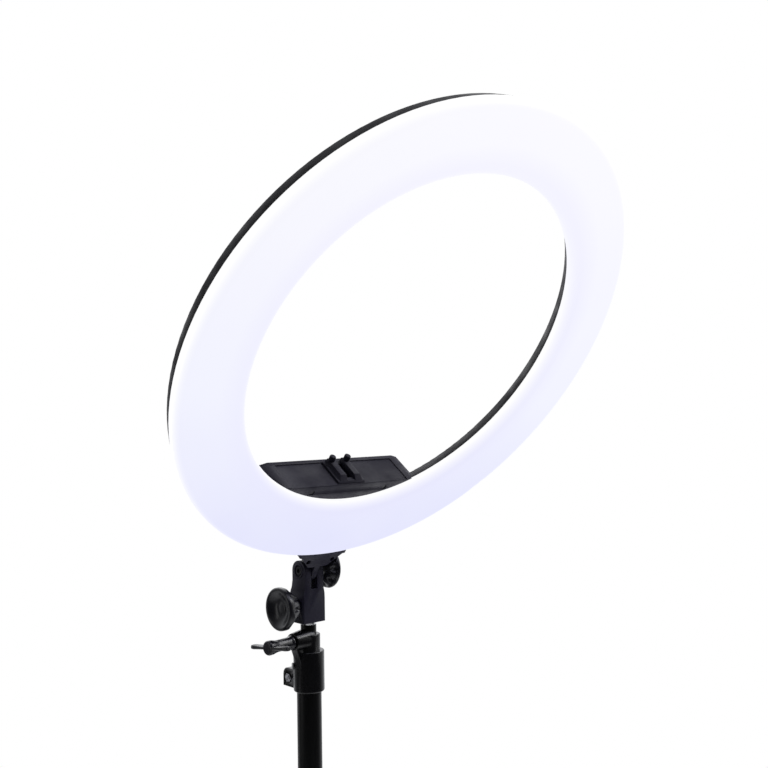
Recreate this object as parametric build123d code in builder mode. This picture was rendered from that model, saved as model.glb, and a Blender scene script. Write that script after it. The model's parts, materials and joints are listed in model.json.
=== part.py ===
from build123d import *
from math import cos, radians, sin
import os

# ---------------------------------------------------------------- driving dimensions (mm, degrees)
# Z = 0 is the floor, the stand's centre column stands on the Z axis, and the light faces -Y.
FIXED_GAP = 0.02            # radial gap between pieces that are pressed or screwed together
RUN_GAP = 0.05              # radial gap between pieces that turn or slide on each other

# ring light head
RING_OUTER_R = 240.0
RING_INNER_R = 175.0
RING_DEPTH = 28.0
SEAM_DEPTH = 12.9           # diffuser and back shell meet here, measured back from the front face
DIFFUSER_OUTER_FILLET = 7.3
DIFFUSER_INNER_FILLET = 11.5
DIFFUSER_WALL = 2.0
SHELL_WALL = 2.2
SHELL_OUTER_TAPER = 4.9     # how much narrower the shell is at its back face than at the seam
SHELL_INNER_TAPER = 10.2
HEAD_TILT = 36.6            # how far the light faces down at rest
HINGE_DROP = 272.0          # ring centre to tilt axis, along the ring
HINGE_DEPTH = 15.0          # tilt axis behind the front face

# control box at the ring's foot
SHELF_DROP = 156.2          # ring centre to the box's shelf
BOX_FRONT_DEPTH = 11.6
BOX_BACK_DEPTH = 45.0
SHELF_FLAT_HALF = 79.0      # half width of the shelf's flat part, between its bevelled ends
SHELF_BEVEL_DROP = 2.5
SHELF_RIM = 0.8             # the shelf is sunk this far between its end rims and the rear panel
BOX_TOP_HALF = 87.0
BOX_FOOT_HALF = 97.0
BOX_WALL = 2.5
PANEL_THICKNESS = 4.5

# column
BASE_TUBE_R, BASE_TUBE_BORE = 15.0, 13.5
MID_TUBE_R, MID_TUBE_BORE = 12.5, 11.0
TOP_TUBE_R, TOP_TUBE_BORE = 8.0, 6.8
BASE_TUBE_FOOT, BASE_TUBE_TOP = 20.0, 600.0
MID_TUBE_LENGTH = 560.0
TOP_TUBE_LENGTH = 500.0
UPPER_COLLAR_Z = 780.0
COLLAR_SLEEVE = 41.0        # height of the collar's wide part, which clamps the lower tube
COLLAR_NECK = 16.7          # height of the collar's narrow part, which guides the upper tube
COLLAR_SEAT = 38.0          # how far the lower tube reaches into the collar
COLLAR_KNOB_HEIGHT = 52.5
LOWER_COLLAR_Z = BASE_TUBE_TOP - COLLAR_SEAT
SPIGOT_R = 7.95
YOKE_Z = 850.0
HINGE_Z = 902.0

# legs
LEG_COUNT = 3
LEG_SPREAD = 58.0           # leg angle from the column when the stand is open
LEG_LENGTH = 500.0
BRACE_LENGTH = 230.0        # also the distance from a leg's pivot to its brace rivet
PIVOT_R = 26.0
LEG_R = 7.0
LEG_END_HEIGHT = 9.0
LEG_HUB_Z = LEG_LENGTH * cos(radians(LEG_SPREAD)) + LEG_END_HEIGHT
BRACE_HUB_Z = LEG_HUB_Z - 2 * BRACE_LENGTH * cos(radians(LEG_SPREAD))
LEG_ANGLES = [-90.0, 30.0, 150.0]
PIN_R = 2.5

LED_COUNT = 48
SHELL_SCREW_COUNT = 6

# ---------------------------------------------------------------- shared frames
TILT_SIN, TILT_COS = sin(radians(HEAD_TILT)), cos(radians(HEAD_TILT))
RING_NORMAL = Vector(0, -TILT_COS, -TILT_SIN)
RING_UP = Vector(0, -TILT_SIN, TILT_COS)
HINGE = Vector(0, 0, HINGE_Z)
RING_CENTRE = HINGE + RING_UP * HINGE_DROP + RING_NORMAL * HINGE_DEPTH
RING_AXIS = Axis(RING_CENTRE, RING_NORMAL)
# the ring's cross-section: x is the radius, y points out of the front
PROFILE = Plane(origin=RING_CENTRE, x_dir=(1, 0, 0), z_dir=RING_UP * -1)


def ring_plane(depth):
    """The plane that lies the given depth behind the front face, with y towards the ring's top."""
    return Plane(origin=RING_CENTRE - RING_NORMAL * depth, x_dir=(1, 0, 0), z_dir=RING_NORMAL)


def shelf_plane(height, depth=0.0):
    """A plane above the box's shelf: x across, y towards the back, z towards the ring's centre."""
    origin = RING_CENTRE + RING_UP * (height - SHELF_DROP) - RING_NORMAL * depth
    return Plane(origin=origin, x_dir=(1, 0, 0), z_dir=RING_UP)


def hinge_plane(x):
    """The plane across the tilt axis at x, seen from +X, with y straight up."""
    return Plane(origin=(x, 0, HINGE_Z), x_dir=(0, 1, 0), z_dir=(1, 0, 0))


def radial(angle, radius=0.0, z=0.0):
    """The point at an angle around the column."""
    return Vector(radius * cos(radians(angle)), radius * sin(radians(angle)), z)


def radial_plane(angle, radius, z):
    """The plane square to a radius of the column, facing outwards, with y straight up."""
    tangent = Vector(-sin(radians(angle)), cos(radians(angle)), 0)
    return Plane(origin=radial(angle, radius, z), x_dir=tangent, z_dir=radial(angle, 1.0))


def side_plane(angle, offset, z):
    """The plane through the column and a radius: x runs outwards along the radius and y up."""
    tangent = Vector(-sin(radians(angle)), cos(radians(angle)), 0)
    return Plane(origin=Vector(0, 0, z) - tangent * offset, x_dir=radial(angle, 1.0), z_dir=tangent * -1)


def save(piece, name):
    piece.part.label = name
    export_step(piece.part, f"parts/{name}.step")


os.makedirs("parts", exist_ok=True)

# ---------------------------------------------------------------- diffuser
RIM_WIDTH = RING_OUTER_R - RING_INNER_R
PILLAR_R = 3.0
PILLAR_CIRCLE = 227.5
PILLAR_DEPTH = RING_DEPTH - SHELL_WALL - 0.1
SCREW_THREAD_R = 1.5

with BuildPart() as diffuser:
    with BuildSketch(PROFILE):
        with Locations((RING_INNER_R, -SEAM_DEPTH)):
            Rectangle(RIM_WIDTH, SEAM_DEPTH, align=(Align.MIN, Align.MIN))
        front = vertices().group_by(Axis.Y)[-1].sort_by(Axis.X)
        fillet(front[-1], DIFFUSER_OUTER_FILLET)
        fillet(vertices().group_by(Axis.Y)[-1].sort_by(Axis.X)[0], DIFFUSER_INNER_FILLET)
    revolve(axis=RING_AXIS)
    with BuildSketch(PROFILE):
        with Locations((RING_INNER_R + DIFFUSER_WALL, -SEAM_DEPTH - 1)):
            Rectangle(
                RIM_WIDTH - 2 * DIFFUSER_WALL,
                SEAM_DEPTH + 1 - DIFFUSER_WALL,
                align=(Align.MIN, Align.MIN),
            )
        front = vertices().group_by(Axis.Y)[-1].sort_by(Axis.X)
        fillet(front[-1], DIFFUSER_OUTER_FILLET - DIFFUSER_WALL)
        fillet(vertices().group_by(Axis.Y)[-1].sort_by(Axis.X)[0], DIFFUSER_INNER_FILLET - DIFFUSER_WALL)
    revolve(axis=RING_AXIS, mode=Mode.SUBTRACT)
    with BuildSketch(ring_plane(PILLAR_DEPTH)):
        with PolarLocations(PILLAR_CIRCLE, SHELL_SCREW_COUNT):
            Circle(PILLAR_R)
    extrude(amount=PILLAR_DEPTH - DIFFUSER_WALL / 2)
    with BuildSketch(ring_plane(PILLAR_DEPTH)):
        with PolarLocations(PILLAR_CIRCLE, SHELL_SCREW_COUNT):
            Circle(SCREW_THREAD_R + FIXED_GAP)
    extrude(amount=9, mode=Mode.SUBTRACT)
save(diffuser, "diffuser")

# ---------------------------------------------------------------- back shell
SHELL_BACK_OUTER_R = RING_OUTER_R - SHELL_OUTER_TAPER
SHELL_BACK_INNER_R = RING_INNER_R + SHELL_INNER_TAPER
LIP_R = RING_OUTER_R - DIFFUSER_WALL - 0.4
LIP_THICKNESS = 1.4
LIP_HEIGHT = 3.0
SCREW_HOLE_R = 1.8


def shell_section(inset, back_fillet):
    """The shell's cross-section, drawn inset mm inside its outer skin."""
    with BuildSketch(PROFILE) as section:
        with BuildLine():
            Polyline(
                (RING_OUTER_R - inset, -SEAM_DEPTH),
                (SHELL_BACK_OUTER_R - inset, inset - RING_DEPTH),
                (SHELL_BACK_INNER_R + inset, inset - RING_DEPTH),
                (RING_INNER_R + inset, -SEAM_DEPTH),
                close=True,
            )
        make_face()
        fillet(vertices().group_by(Axis.Y)[0], back_fillet)
    return section.sketch


with BuildPart() as back_shell:
    revolve(shell_section(0, 4.5), axis=RING_AXIS)
    revolve(shell_section(SHELL_WALL, 2.5), axis=RING_AXIS, mode=Mode.SUBTRACT)
    # the lip that centres the diffuser
    with BuildSketch(PROFILE):
        with Locations((LIP_R, LIP_HEIGHT - SEAM_DEPTH)):
            Rectangle(LIP_THICKNESS, 2 * LIP_HEIGHT, align=(Align.MAX, Align.MAX))
    revolve(axis=RING_AXIS)
    with BuildSketch(ring_plane(RING_DEPTH)):
        with PolarLocations(PILLAR_CIRCLE, SHELL_SCREW_COUNT):
            Circle(SCREW_HOLE_R)
        # the cable passes from the control box into the ring here
        with Locations((0, -200)):
            SlotOverall(26, 9)
    extrude(amount=SHELL_WALL + 1, mode=Mode.SUBTRACT)
save(back_shell, "back_shell")

# ---------------------------------------------------------------- lamp board and its chips
BOARD_DEPTH = 24.4
BOARD_THICKNESS = 1.6
BOARD_INNER_R, BOARD_OUTER_R = 191.0, 222.5
CHIP = 5.0
CHIP_HEIGHT = 0.9
STANDOFF_COUNT = 6
STANDOFF_CIRCLE = 206.5

with BuildPart() as led_board:
    with BuildSketch(ring_plane(BOARD_DEPTH)):
        Circle(BOARD_OUTER_R)
        Circle(BOARD_INNER_R, mode=Mode.SUBTRACT)
        with Locations((0, -200)):
            SlotOverall(16, 5, mode=Mode.SUBTRACT)
    extrude(amount=BOARD_THICKNESS)
    with BuildSketch(ring_plane(BOARD_DEPTH)):
        with PolarLocations(STANDOFF_CIRCLE, STANDOFF_COUNT, start_angle=60):
            Circle(3)
    extrude(amount=BOARD_DEPTH - RING_DEPTH + SHELL_WALL + FIXED_GAP)
save(led_board, "led_board")


def chip_ring(radius, start_angle):
    with BuildPart() as chips:
        with BuildSketch(ring_plane(BOARD_DEPTH - BOARD_THICKNESS)):
            with PolarLocations(radius, LED_COUNT, start_angle=start_angle):
                Rectangle(CHIP, CHIP)
        extrude(amount=CHIP_HEIGHT)
    return chips


save(chip_ring(199.0, 3.75), "warm_leds")
save(chip_ring(213.5, 0.0), "cool_leds")

# ---------------------------------------------------------------- shell screws
with BuildPart() as shell_screws:
    with BuildSketch(ring_plane(RING_DEPTH)):
        with PolarLocations(PILLAR_CIRCLE, SHELL_SCREW_COUNT):
            Circle(SCREW_THREAD_R)
    extrude(amount=9)
    with BuildSketch(ring_plane(RING_DEPTH)):
        with PolarLocations(PILLAR_CIRCLE, SHELL_SCREW_COUNT):
            Circle(2.9)
    extrude(amount=-1.8)
    fillet(edges().filter_by(GeomType.CIRCLE).group_by(Axis(RING_CENTRE, RING_NORMAL))[0], 0.8)
    with BuildSketch(ring_plane(RING_DEPTH + 1.8)):
        with PolarLocations(PILLAR_CIRCLE, SHELL_SCREW_COUNT):
            Rectangle(3.2, 0.7)
            Rectangle(0.7, 3.2)
    extrude(amount=1.0, mode=Mode.SUBTRACT)
save(shell_screws, "shell_screws")

# ---------------------------------------------------------------- control box housing
NOSE_R = RING_INNER_R - 0.35        # the box's nose fits inside the ring's inner wall
BOX_FOOT_R = RING_OUTER_R - 0.1
REAR_START = RING_DEPTH + 0.15      # the box's wide part lies behind the ring
RAIL_HALF, RAIL_HEIGHT = 16.5, 2.0
RIM_BAND = 6.0              # width of the rim at each end of the shelf
RIB_INNER, RIB_TOP, RIB_FOOT, RIB_HEIGHT = 5.0, 12.0, 15.0, 6.0
RAIL_START, RAIL_END = 12.5, 44.5
SLOT_START, SLOT_END = 19.0, 40.0
POST_X, POST_R, POST_HEIGHT = 9.4, 3.3, 11.5
POST_DEPTH = 41.0
BOX_SCREW_X, BOX_SCREW_Y = 45.4, -163.6
BRACKET_SCREW_X = (-24.0, -9.0, 9.0, 24.0)
BRACKET_SCREW_DEPTH = 37.0
# the rail seen from +X: x runs backwards from the front face, y up from the shelf
RAIL_SIDE = Plane(
    origin=RING_CENTRE - RING_UP * SHELF_DROP, x_dir=RING_NORMAL * -1, z_dir=(1, 0, 0)
)
PANEL_SCREWS = [(-72.0, -166.0), (72.0, -166.0), (-80.0, -214.0), (80.0, -214.0)]


def nose_section(depth, inset):
    """The hollow of the box inside the ring: the ring's inner circle, cut off by the shelf."""
    with BuildSketch(ring_plane(depth)) as section:
        Circle(NOSE_R - inset)
        with Locations((0, -SHELF_DROP - inset)):
            Rectangle(
                2 * RING_OUTER_R, 2 * RING_OUTER_R, align=(Align.CENTER, Align.MIN), mode=Mode.SUBTRACT
            )
    return section.sketch


def rear_section(depth, inset):
    """The box seen from the front: a shelf with bevelled ends, and a foot that follows the ring's rim."""
    top = SHELF_RIM - SHELF_DROP - inset
    with BuildSketch(ring_plane(depth)) as section:
        with BuildLine():
            Polyline(
                (-BOX_TOP_HALF + inset, top - SHELF_BEVEL_DROP),
                (-SHELF_FLAT_HALF, top),
                (SHELF_FLAT_HALF, top),
                (BOX_TOP_HALF - inset, top - SHELF_BEVEL_DROP),
                (BOX_FOOT_HALF - inset, -RING_OUTER_R),
                (-BOX_FOOT_HALF + inset, -RING_OUTER_R),
                close=True,
            )
        make_face()
        Circle(BOX_FOOT_R - inset, mode=Mode.INTERSECT)
    return section.sketch


with BuildPart() as control_housing:
    # the nose fills the foot of the ring's hole, and flares with the back shell's inner wall
    with BuildSketch(PROFILE):
        with BuildLine():
            Polyline(
                (0, -BOX_FRONT_DEPTH),
                (NOSE_R, -BOX_FRONT_DEPTH),
                (NOSE_R, -SEAM_DEPTH),
                (NOSE_R + SHELL_INNER_TAPER, -RING_DEPTH),
                (NOSE_R + SHELL_INNER_TAPER, -REAR_START - BOX_WALL),
                (0, -REAR_START - BOX_WALL),
                close=True,
            )
        make_face()
    revolve(axis=RING_AXIS)
    extrude(rear_section(0, 0), amount=-BOX_BACK_DEPTH, mode=Mode.INTERSECT)
    extrude(rear_section(REAR_START, 0), amount=REAR_START - BOX_BACK_DEPTH)
    extrude(
        nose_section(BOX_FRONT_DEPTH + BOX_WALL, BOX_WALL),
        amount=BOX_FRONT_DEPTH - BOX_BACK_DEPTH,
        mode=Mode.SUBTRACT,
    )
    extrude(
        rear_section(REAR_START + BOX_WALL, BOX_WALL + SHELF_RIM),
        amount=-BOX_BACK_DEPTH,
        mode=Mode.SUBTRACT,
    )
    # the sunk face of the shelf, between a rim at each end
    with BuildSketch(shelf_plane(0)):
        Rectangle(2 * (SHELF_FLAT_HALF - RIM_BAND), 2 * BOX_BACK_DEPTH)
    extrude(amount=SHELF_RIM + 1, mode=Mode.SUBTRACT)
    # the accessory rail on the shelf: a low base, two upright ribs and a rounded stop behind each
    with BuildSketch(shelf_plane(0)):
        with Locations((0, RAIL_START)):
            Rectangle(2 * RAIL_HALF, RAIL_END - RAIL_START, align=(Align.CENTER, Align.MIN))
    extrude(amount=RAIL_HEIGHT)
    with BuildSketch(ring_plane(RAIL_START)):
        for side in (-1, 1):
            with BuildLine():
                Polyline(
                    (side * RIB_INNER, -SHELF_DROP),
                    (side * RIB_INNER, RIB_HEIGHT - SHELF_DROP),
                    (side * RIB_TOP, RIB_HEIGHT - SHELF_DROP),
                    (side * RIB_FOOT, -SHELF_DROP),
                    close=True,
                )
            make_face()
    extrude(amount=RAIL_START - RAIL_END)
    with BuildSketch(RAIL_SIDE):
        with BuildLine():
            Polyline(
                (RAIL_START - 1, 0.8),
                (RAIL_START, 0.8),
                (SLOT_START, RIB_HEIGHT),
                (SLOT_START, 2 * RIB_HEIGHT),
                (RAIL_START - 1, 2 * RIB_HEIGHT),
                close=True,
            )
        make_face()
    extrude(amount=RAIL_HALF + 1, both=True, mode=Mode.SUBTRACT)
    with BuildSketch(shelf_plane(0)):
        with Locations((-POST_X, POST_DEPTH), (POST_X, POST_DEPTH)):
            Circle(POST_R)
    extrude(amount=POST_HEIGHT)
    fillet(edges().filter_by(GeomType.CIRCLE).group_by(Axis(RING_CENTRE, RING_UP))[-1], 1.2)
    with BuildSketch(shelf_plane(RAIL_HEIGHT)):
        with Locations((0, SLOT_START)):
            Rectangle(2 * RIB_INNER - 1.0, SLOT_END - SLOT_START, align=(Align.CENTER, Align.MIN))
    extrude(amount=-RAIL_HEIGHT - BOX_WALL - 1, mode=Mode.SUBTRACT)
    # recessed screws in the nose, and the bosses they thread into
    with BuildSketch(ring_plane(BOX_FRONT_DEPTH + BOX_WALL)):
        with Locations((-BOX_SCREW_X, BOX_SCREW_Y), (BOX_SCREW_X, BOX_SCREW_Y)):
            Circle(3.6)
    extrude(amount=-6)
    with BuildSketch(ring_plane(BOX_FRONT_DEPTH)):
        with Locations((-BOX_SCREW_X, BOX_SCREW_Y), (BOX_SCREW_X, BOX_SCREW_Y)):
            Circle(2.6)
    extrude(amount=-1.8, mode=Mode.SUBTRACT)
    with BuildSketch(ring_plane(BOX_FRONT_DEPTH)):
        with Locations((-BOX_SCREW_X, BOX_SCREW_Y), (BOX_SCREW_X, BOX_SCREW_Y)):
            Circle(1.25 + FIXED_GAP)
    extrude(amount=-10, mode=Mode.SUBTRACT)
    # bosses for the rear panel's screws
    with BuildSketch(ring_plane(REAR_START)):
        with Locations(*PANEL_SCREWS):
            Circle(3.8)
    extrude(amount=REAR_START - BOX_BACK_DEPTH)
    with BuildSketch(ring_plane(BOX_BACK_DEPTH)):
        with Locations(*PANEL_SCREWS):
            Circle(1.25 + FIXED_GAP)
    extrude(amount=9, mode=Mode.SUBTRACT)
    # cable opening towards the ring
    with BuildSketch(ring_plane(REAR_START)):
        with Locations((0, -200)):
            SlotOverall(26, 9)
    extrude(amount=-BOX_WALL - 1, mode=Mode.SUBTRACT)
    # holes for the bracket's screws, up through the foot wall
    for x in BRACKET_SCREW_X:
        with BuildSketch(shelf_plane(SHELF_DROP - RING_OUTER_R - 2, BRACKET_SCREW_DEPTH)):
            with Locations((x, 0)):
                Circle(4.0)
        extrude(amount=11)
    with BuildSketch(ring_plane(REAR_START)):
        Circle(BOX_FOOT_R + 20)
        Circle(BOX_FOOT_R, mode=Mode.SUBTRACT)
    extrude(amount=REAR_START - BOX_BACK_DEPTH, mode=Mode.SUBTRACT)
    for x in BRACKET_SCREW_X:
        with BuildSketch(shelf_plane(SHELF_DROP - RING_OUTER_R - 2, BRACKET_SCREW_DEPTH)):
            with Locations((x, 0)):
                Circle(SCREW_THREAD_R + FIXED_GAP)
        extrude(amount=9.5, mode=Mode.SUBTRACT)
save(control_housing, "control_housing")

# ---------------------------------------------------------------- rear panel and what it carries
PANEL_BACK = BOX_BACK_DEPTH + PANEL_THICKNESS
DIAL_X, DIAL_Y = 48.0, -196.0
WINDOW_Y, WINDOW_W, WINDOW_H = -181.0, 44.0, 17.0
ROCKER_Y, ROCKER_W, ROCKER_H = -210.0, 19.0, 13.0
SOCKET_X, SOCKET_Y, SOCKET_R = -24.0, -209.0, 4.6
DIAL_SHAFT_R = 3.0
VENT_X, VENT_Y = 45.0, -171.0

with BuildPart() as rear_panel:
    extrude(rear_section(BOX_BACK_DEPTH, 0), amount=-PANEL_THICKNESS)
    with BuildSketch(ring_plane(BOX_BACK_DEPTH)):
        with Locations((0, WINDOW_Y)):
            RectangleRounded(WINDOW_W, WINDOW_H, 2)
        with Locations((0, ROCKER_Y)):
            Rectangle(ROCKER_W, ROCKER_H)
        with Locations((SOCKET_X, SOCKET_Y)):
            Circle(SOCKET_R)
        with Locations((-DIAL_X, DIAL_Y), (DIAL_X, DIAL_Y)):
            Circle(DIAL_SHAFT_R + 0.6)
        with Locations(*PANEL_SCREWS):
            Circle(1.7)
        for x in (-VENT_X, VENT_X):
            with Locations(Location((x, VENT_Y))):
                with GridLocations(5.0, 0, 5, 1):
                    SlotOverall(12, 2, rotation=90)
    extrude(amount=-PANEL_THICKNESS, mode=Mode.SUBTRACT)
save(rear_panel, "rear_panel")

with BuildPart() as display_window:
    with BuildSketch(ring_plane(BOX_BACK_DEPTH)):
        with Locations((0, WINDOW_Y)):
            RectangleRounded(WINDOW_W - 0.3, WINDOW_H - 0.3, 1.85)
    extrude(amount=-PANEL_THICKNESS - 0.4)
save(display_window, "display_window")

with BuildPart() as display_module:
    with BuildSketch(ring_plane(BOX_BACK_DEPTH - 0.3)):
        with Locations((0, WINDOW_Y)):
            Rectangle(WINDOW_W + 4, WINDOW_H + 3)
    extrude(amount=6)
save(display_module, "display_module")

DRIVER_DEPTH = 36.0
with BuildPart() as driver_board:
    with BuildSketch(ring_plane(DRIVER_DEPTH)):
        with Locations((0, -193)):
            Rectangle(124, 38)
        with Locations((0, -200)):
            SlotOverall(18, 6, mode=Mode.SUBTRACT)
    extrude(amount=1.6)
save(driver_board, "driver_board")

with BuildPart() as board_components:
    with BuildSketch(ring_plane(DRIVER_DEPTH)):
        with Locations((-24, -181), (24, -203), (30, -203)):
            Circle(2.4)
    extrude(amount=-2.6)
    with BuildSketch(ring_plane(DRIVER_DEPTH)):
        with Locations((14, -203)):
            Rectangle(9, 9)
    extrude(amount=-4.5)
    with BuildSketch(ring_plane(DRIVER_DEPTH)):
        with Locations((-56, -180), (57, -180), (-12, -206)):
            Rectangle(6, 5)
    extrude(amount=-1.4)
save(board_components, "board_components")

ENCODER_BODY = 12.0
with BuildPart() as dial_encoders:
    with BuildSketch(ring_plane(DRIVER_DEPTH)):
        with Locations((-DIAL_X, DIAL_Y), (DIAL_X, DIAL_Y)):
            Rectangle(ENCODER_BODY, ENCODER_BODY)
    extrude(amount=-6.5)
save(dial_encoders, "dial_encoders")

DIAL_R, DIAL_HEIGHT, DIAL_GAP = 11.0, 10.0, 0.6


def control_dial(x):
    """A knurled dial with its shaft, standing off the rear panel."""
    with BuildPart() as dial:
        with BuildSketch(ring_plane(PANEL_BACK + DIAL_GAP)):
            with Locations((x, DIAL_Y)):
                Circle(DIAL_R)
        extrude(amount=-DIAL_HEIGHT)
        fillet(edges().group_by(RING_AXIS)[0], 1.2)
        with BuildSketch(ring_plane(PANEL_BACK + DIAL_GAP)):
            with Locations(Location((x, DIAL_Y))):
                with PolarLocations(DIAL_R + 0.35, 24):
                    Circle(0.8)
        extrude(amount=-DIAL_HEIGHT + 2.0, mode=Mode.SUBTRACT)
        with BuildSketch(ring_plane(PANEL_BACK + DIAL_GAP + DIAL_HEIGHT)):
            with Locations((x, DIAL_Y + DIAL_R * 0.6)):
                Rectangle(1.4, 6.0)
        extrude(amount=0.6, mode=Mode.SUBTRACT)
        with BuildSketch(ring_plane(PANEL_BACK + DIAL_GAP)):
            with Locations((x, DIAL_Y)):
                Circle(DIAL_SHAFT_R)
        extrude(amount=PANEL_THICKNESS + DIAL_GAP + 2.2)
    return dial


save(control_dial(-DIAL_X), "brightness_dial")
save(control_dial(DIAL_X), "colour_dial")

BEZEL = 1.5
ROCKER_PIVOT_DEPTH = PANEL_BACK - 1.0
with BuildPart() as rocker_frame:
    with BuildSketch(ring_plane(PANEL_BACK)):
        with Locations((0, ROCKER_Y)):
            Rectangle(ROCKER_W + 2 * BEZEL, ROCKER_H + 2 * BEZEL)
            Rectangle(ROCKER_W - 2 * BEZEL, ROCKER_H - 2 * BEZEL, mode=Mode.SUBTRACT)
    extrude(amount=-1.2)
    with BuildSketch(ring_plane(PANEL_BACK)):
        with Locations((0, ROCKER_Y)):
            Rectangle(ROCKER_W - 0.1, ROCKER_H - 0.1)
            Rectangle(ROCKER_W - 2 * BEZEL, ROCKER_H - 2 * BEZEL, mode=Mode.SUBTRACT)
    extrude(amount=7.0)
    with BuildSketch(ring_plane(PANEL_BACK - 7.0)):
        with Locations((0, ROCKER_Y)):
            Rectangle(ROCKER_W - 0.1, ROCKER_H - 0.1)
    extrude(amount=1.4)
save(rocker_frame, "rocker_frame")

ROCKER_HALF_W = ROCKER_W / 2 - BEZEL - 0.3
ROCKER_HALF_H = ROCKER_H / 2 - BEZEL - 0.3
ROCKER_CENTRE = RING_CENTRE + RING_UP * ROCKER_Y - RING_NORMAL * ROCKER_PIVOT_DEPTH
# the rocker turns about its short axis: x runs along the switch, y out of the rear panel
ROCKER_PLANE = Plane(origin=ROCKER_CENTRE - RING_UP * ROCKER_HALF_H, x_dir=(1, 0, 0), z_dir=RING_UP)
with BuildPart() as power_rocker:
    with BuildSketch(ROCKER_PLANE):
        with BuildLine():
            Polyline(
                (-ROCKER_HALF_W + 0.5, 1.6),
                (-ROCKER_HALF_W + 0.5, -2.6),
                (0, -1.6),
                (ROCKER_HALF_W - 0.5, -2.6),
                (ROCKER_HALF_W - 0.5, 1.6),
                (0, 3.2),
                close=True,
            )
        make_face()
    extrude(amount=2 * ROCKER_HALF_H)
save(power_rocker, "power_rocker")

with BuildPart() as dc_socket:
    with BuildSketch(ring_plane(PANEL_BACK + 1.4)):
        with Locations((SOCKET_X, SOCKET_Y)):
            Circle(SOCKET_R + 1.8)
    extrude(amount=1.4)
    with BuildSketch(ring_plane(PANEL_BACK)):
        with Locations((SOCKET_X, SOCKET_Y)):
            Circle(SOCKET_R - FIXED_GAP)
    extrude(amount=7.5)
    with BuildSketch(ring_plane(PANEL_BACK + 1.4)):
        with Locations((SOCKET_X, SOCKET_Y)):
            Circle(2.75)
    extrude(amount=7.4, mode=Mode.SUBTRACT)
    with BuildSketch(ring_plane(PANEL_BACK - 7.5)):
        with Locations((SOCKET_X, SOCKET_Y)):
            Circle(1.05)
    extrude(amount=-7.0)
save(dc_socket, "dc_socket")

with BuildPart() as box_screws:
    with BuildSketch(ring_plane(BOX_FRONT_DEPTH + 1.8)):
        with Locations((-BOX_SCREW_X, BOX_SCREW_Y), (BOX_SCREW_X, BOX_SCREW_Y)):
            Circle(2.4)
    extrude(amount=1.2)
    with BuildSketch(ring_plane(BOX_FRONT_DEPTH + 1.8)):
        with Locations((-BOX_SCREW_X, BOX_SCREW_Y), (BOX_SCREW_X, BOX_SCREW_Y)):
            Circle(1.25)
    extrude(amount=-5.5)
    with BuildSketch(ring_plane(PANEL_BACK)):
        with Locations(*PANEL_SCREWS):
            Circle(2.6)
    extrude(amount=-1.5)
    with BuildSketch(ring_plane(PANEL_BACK)):
        with Locations(*PANEL_SCREWS):
            Circle(1.25)
    extrude(amount=9.0)
save(box_screws, "box_screws")

CABLE_R = 1.6
with BuildPart() as internal_cable:
    with BuildSketch(ring_plane(DRIVER_DEPTH + 1.0)):
        with Locations((-5, -200), (0, -200), (5, -200)):
            Circle(CABLE_R)
    extrude(amount=DRIVER_DEPTH + 1.0 - BOARD_DEPTH)
save(internal_cable, "internal_cable")

# ---------------------------------------------------------------- head bracket: the tongue under the ring
FLANGE_R0, FLANGE_R1, FLANGE_HALF = RING_OUTER_R + 0.25, RING_OUTER_R + 5.5, 28.5
FLANGE_FRONT, FLANGE_BACK = 5.0, 44.0
WEB_FRONT, WEB_BACK = 5.0, 25.0
WEB_TOP_HALF, WEB_FOOT_HALF = 26.0, 12.0
WEB_FOOT = -258.5           # lower edge of the web, measured up the ring from its centre
WEB_HOLE_X, WEB_HOLE_Y, WEB_HOLE_R = 15.0, -250.5, 2.6
TONGUE_HALF, TONGUE_R = 3.1, 11.5
HINGE_BOLT_R = 3.0
with BuildPart() as head_bracket:
    with BuildSketch(ring_plane(FLANGE_FRONT)):
        Circle(FLANGE_R1)
        Circle(FLANGE_R0, mode=Mode.SUBTRACT)
        with Locations((0, -RING_OUTER_R)):
            Rectangle(2 * FLANGE_HALF, 60, mode=Mode.INTERSECT)
    extrude(amount=FLANGE_FRONT - FLANGE_BACK)
    with BuildSketch(ring_plane(WEB_FRONT)):
        with BuildLine():
            Polyline(
                (-WEB_TOP_HALF, 2 - FLANGE_R1),
                (-WEB_FOOT_HALF, WEB_FOOT),
                (WEB_FOOT_HALF, WEB_FOOT),
                (WEB_TOP_HALF, 2 - FLANGE_R1),
                close=True,
            )
        make_face()
        with Locations((-WEB_HOLE_X, WEB_HOLE_Y), (WEB_HOLE_X, WEB_HOLE_Y)):
            Circle(WEB_HOLE_R, mode=Mode.SUBTRACT)
    extrude(amount=WEB_FRONT - WEB_BACK)
    with BuildSketch(ring_plane(WEB_FRONT)):
        with Locations((0, -HINGE_DROP)):
            Rectangle(2 * TONGUE_HALF, HINGE_DROP + WEB_FOOT + 1, align=(Align.CENTER, Align.MIN))
    extrude(amount=WEB_FRONT - WEB_BACK)
    with BuildSketch(hinge_plane(-TONGUE_HALF)):
        Circle(TONGUE_R)
    extrude(amount=2 * TONGUE_HALF)
    with BuildSketch(hinge_plane(-20)):
        Circle(HINGE_BOLT_R + RUN_GAP)
    extrude(amount=40, mode=Mode.SUBTRACT)
    for x in BRACKET_SCREW_X:
        with BuildSketch(shelf_plane(SHELF_DROP - FLANGE_R1 - 2, BRACKET_SCREW_DEPTH)):
            with Locations((x, 0)):
                Circle(SCREW_HOLE_R)
        extrude(amount=14, mode=Mode.SUBTRACT)
save(head_bracket, "head_bracket")

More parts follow.
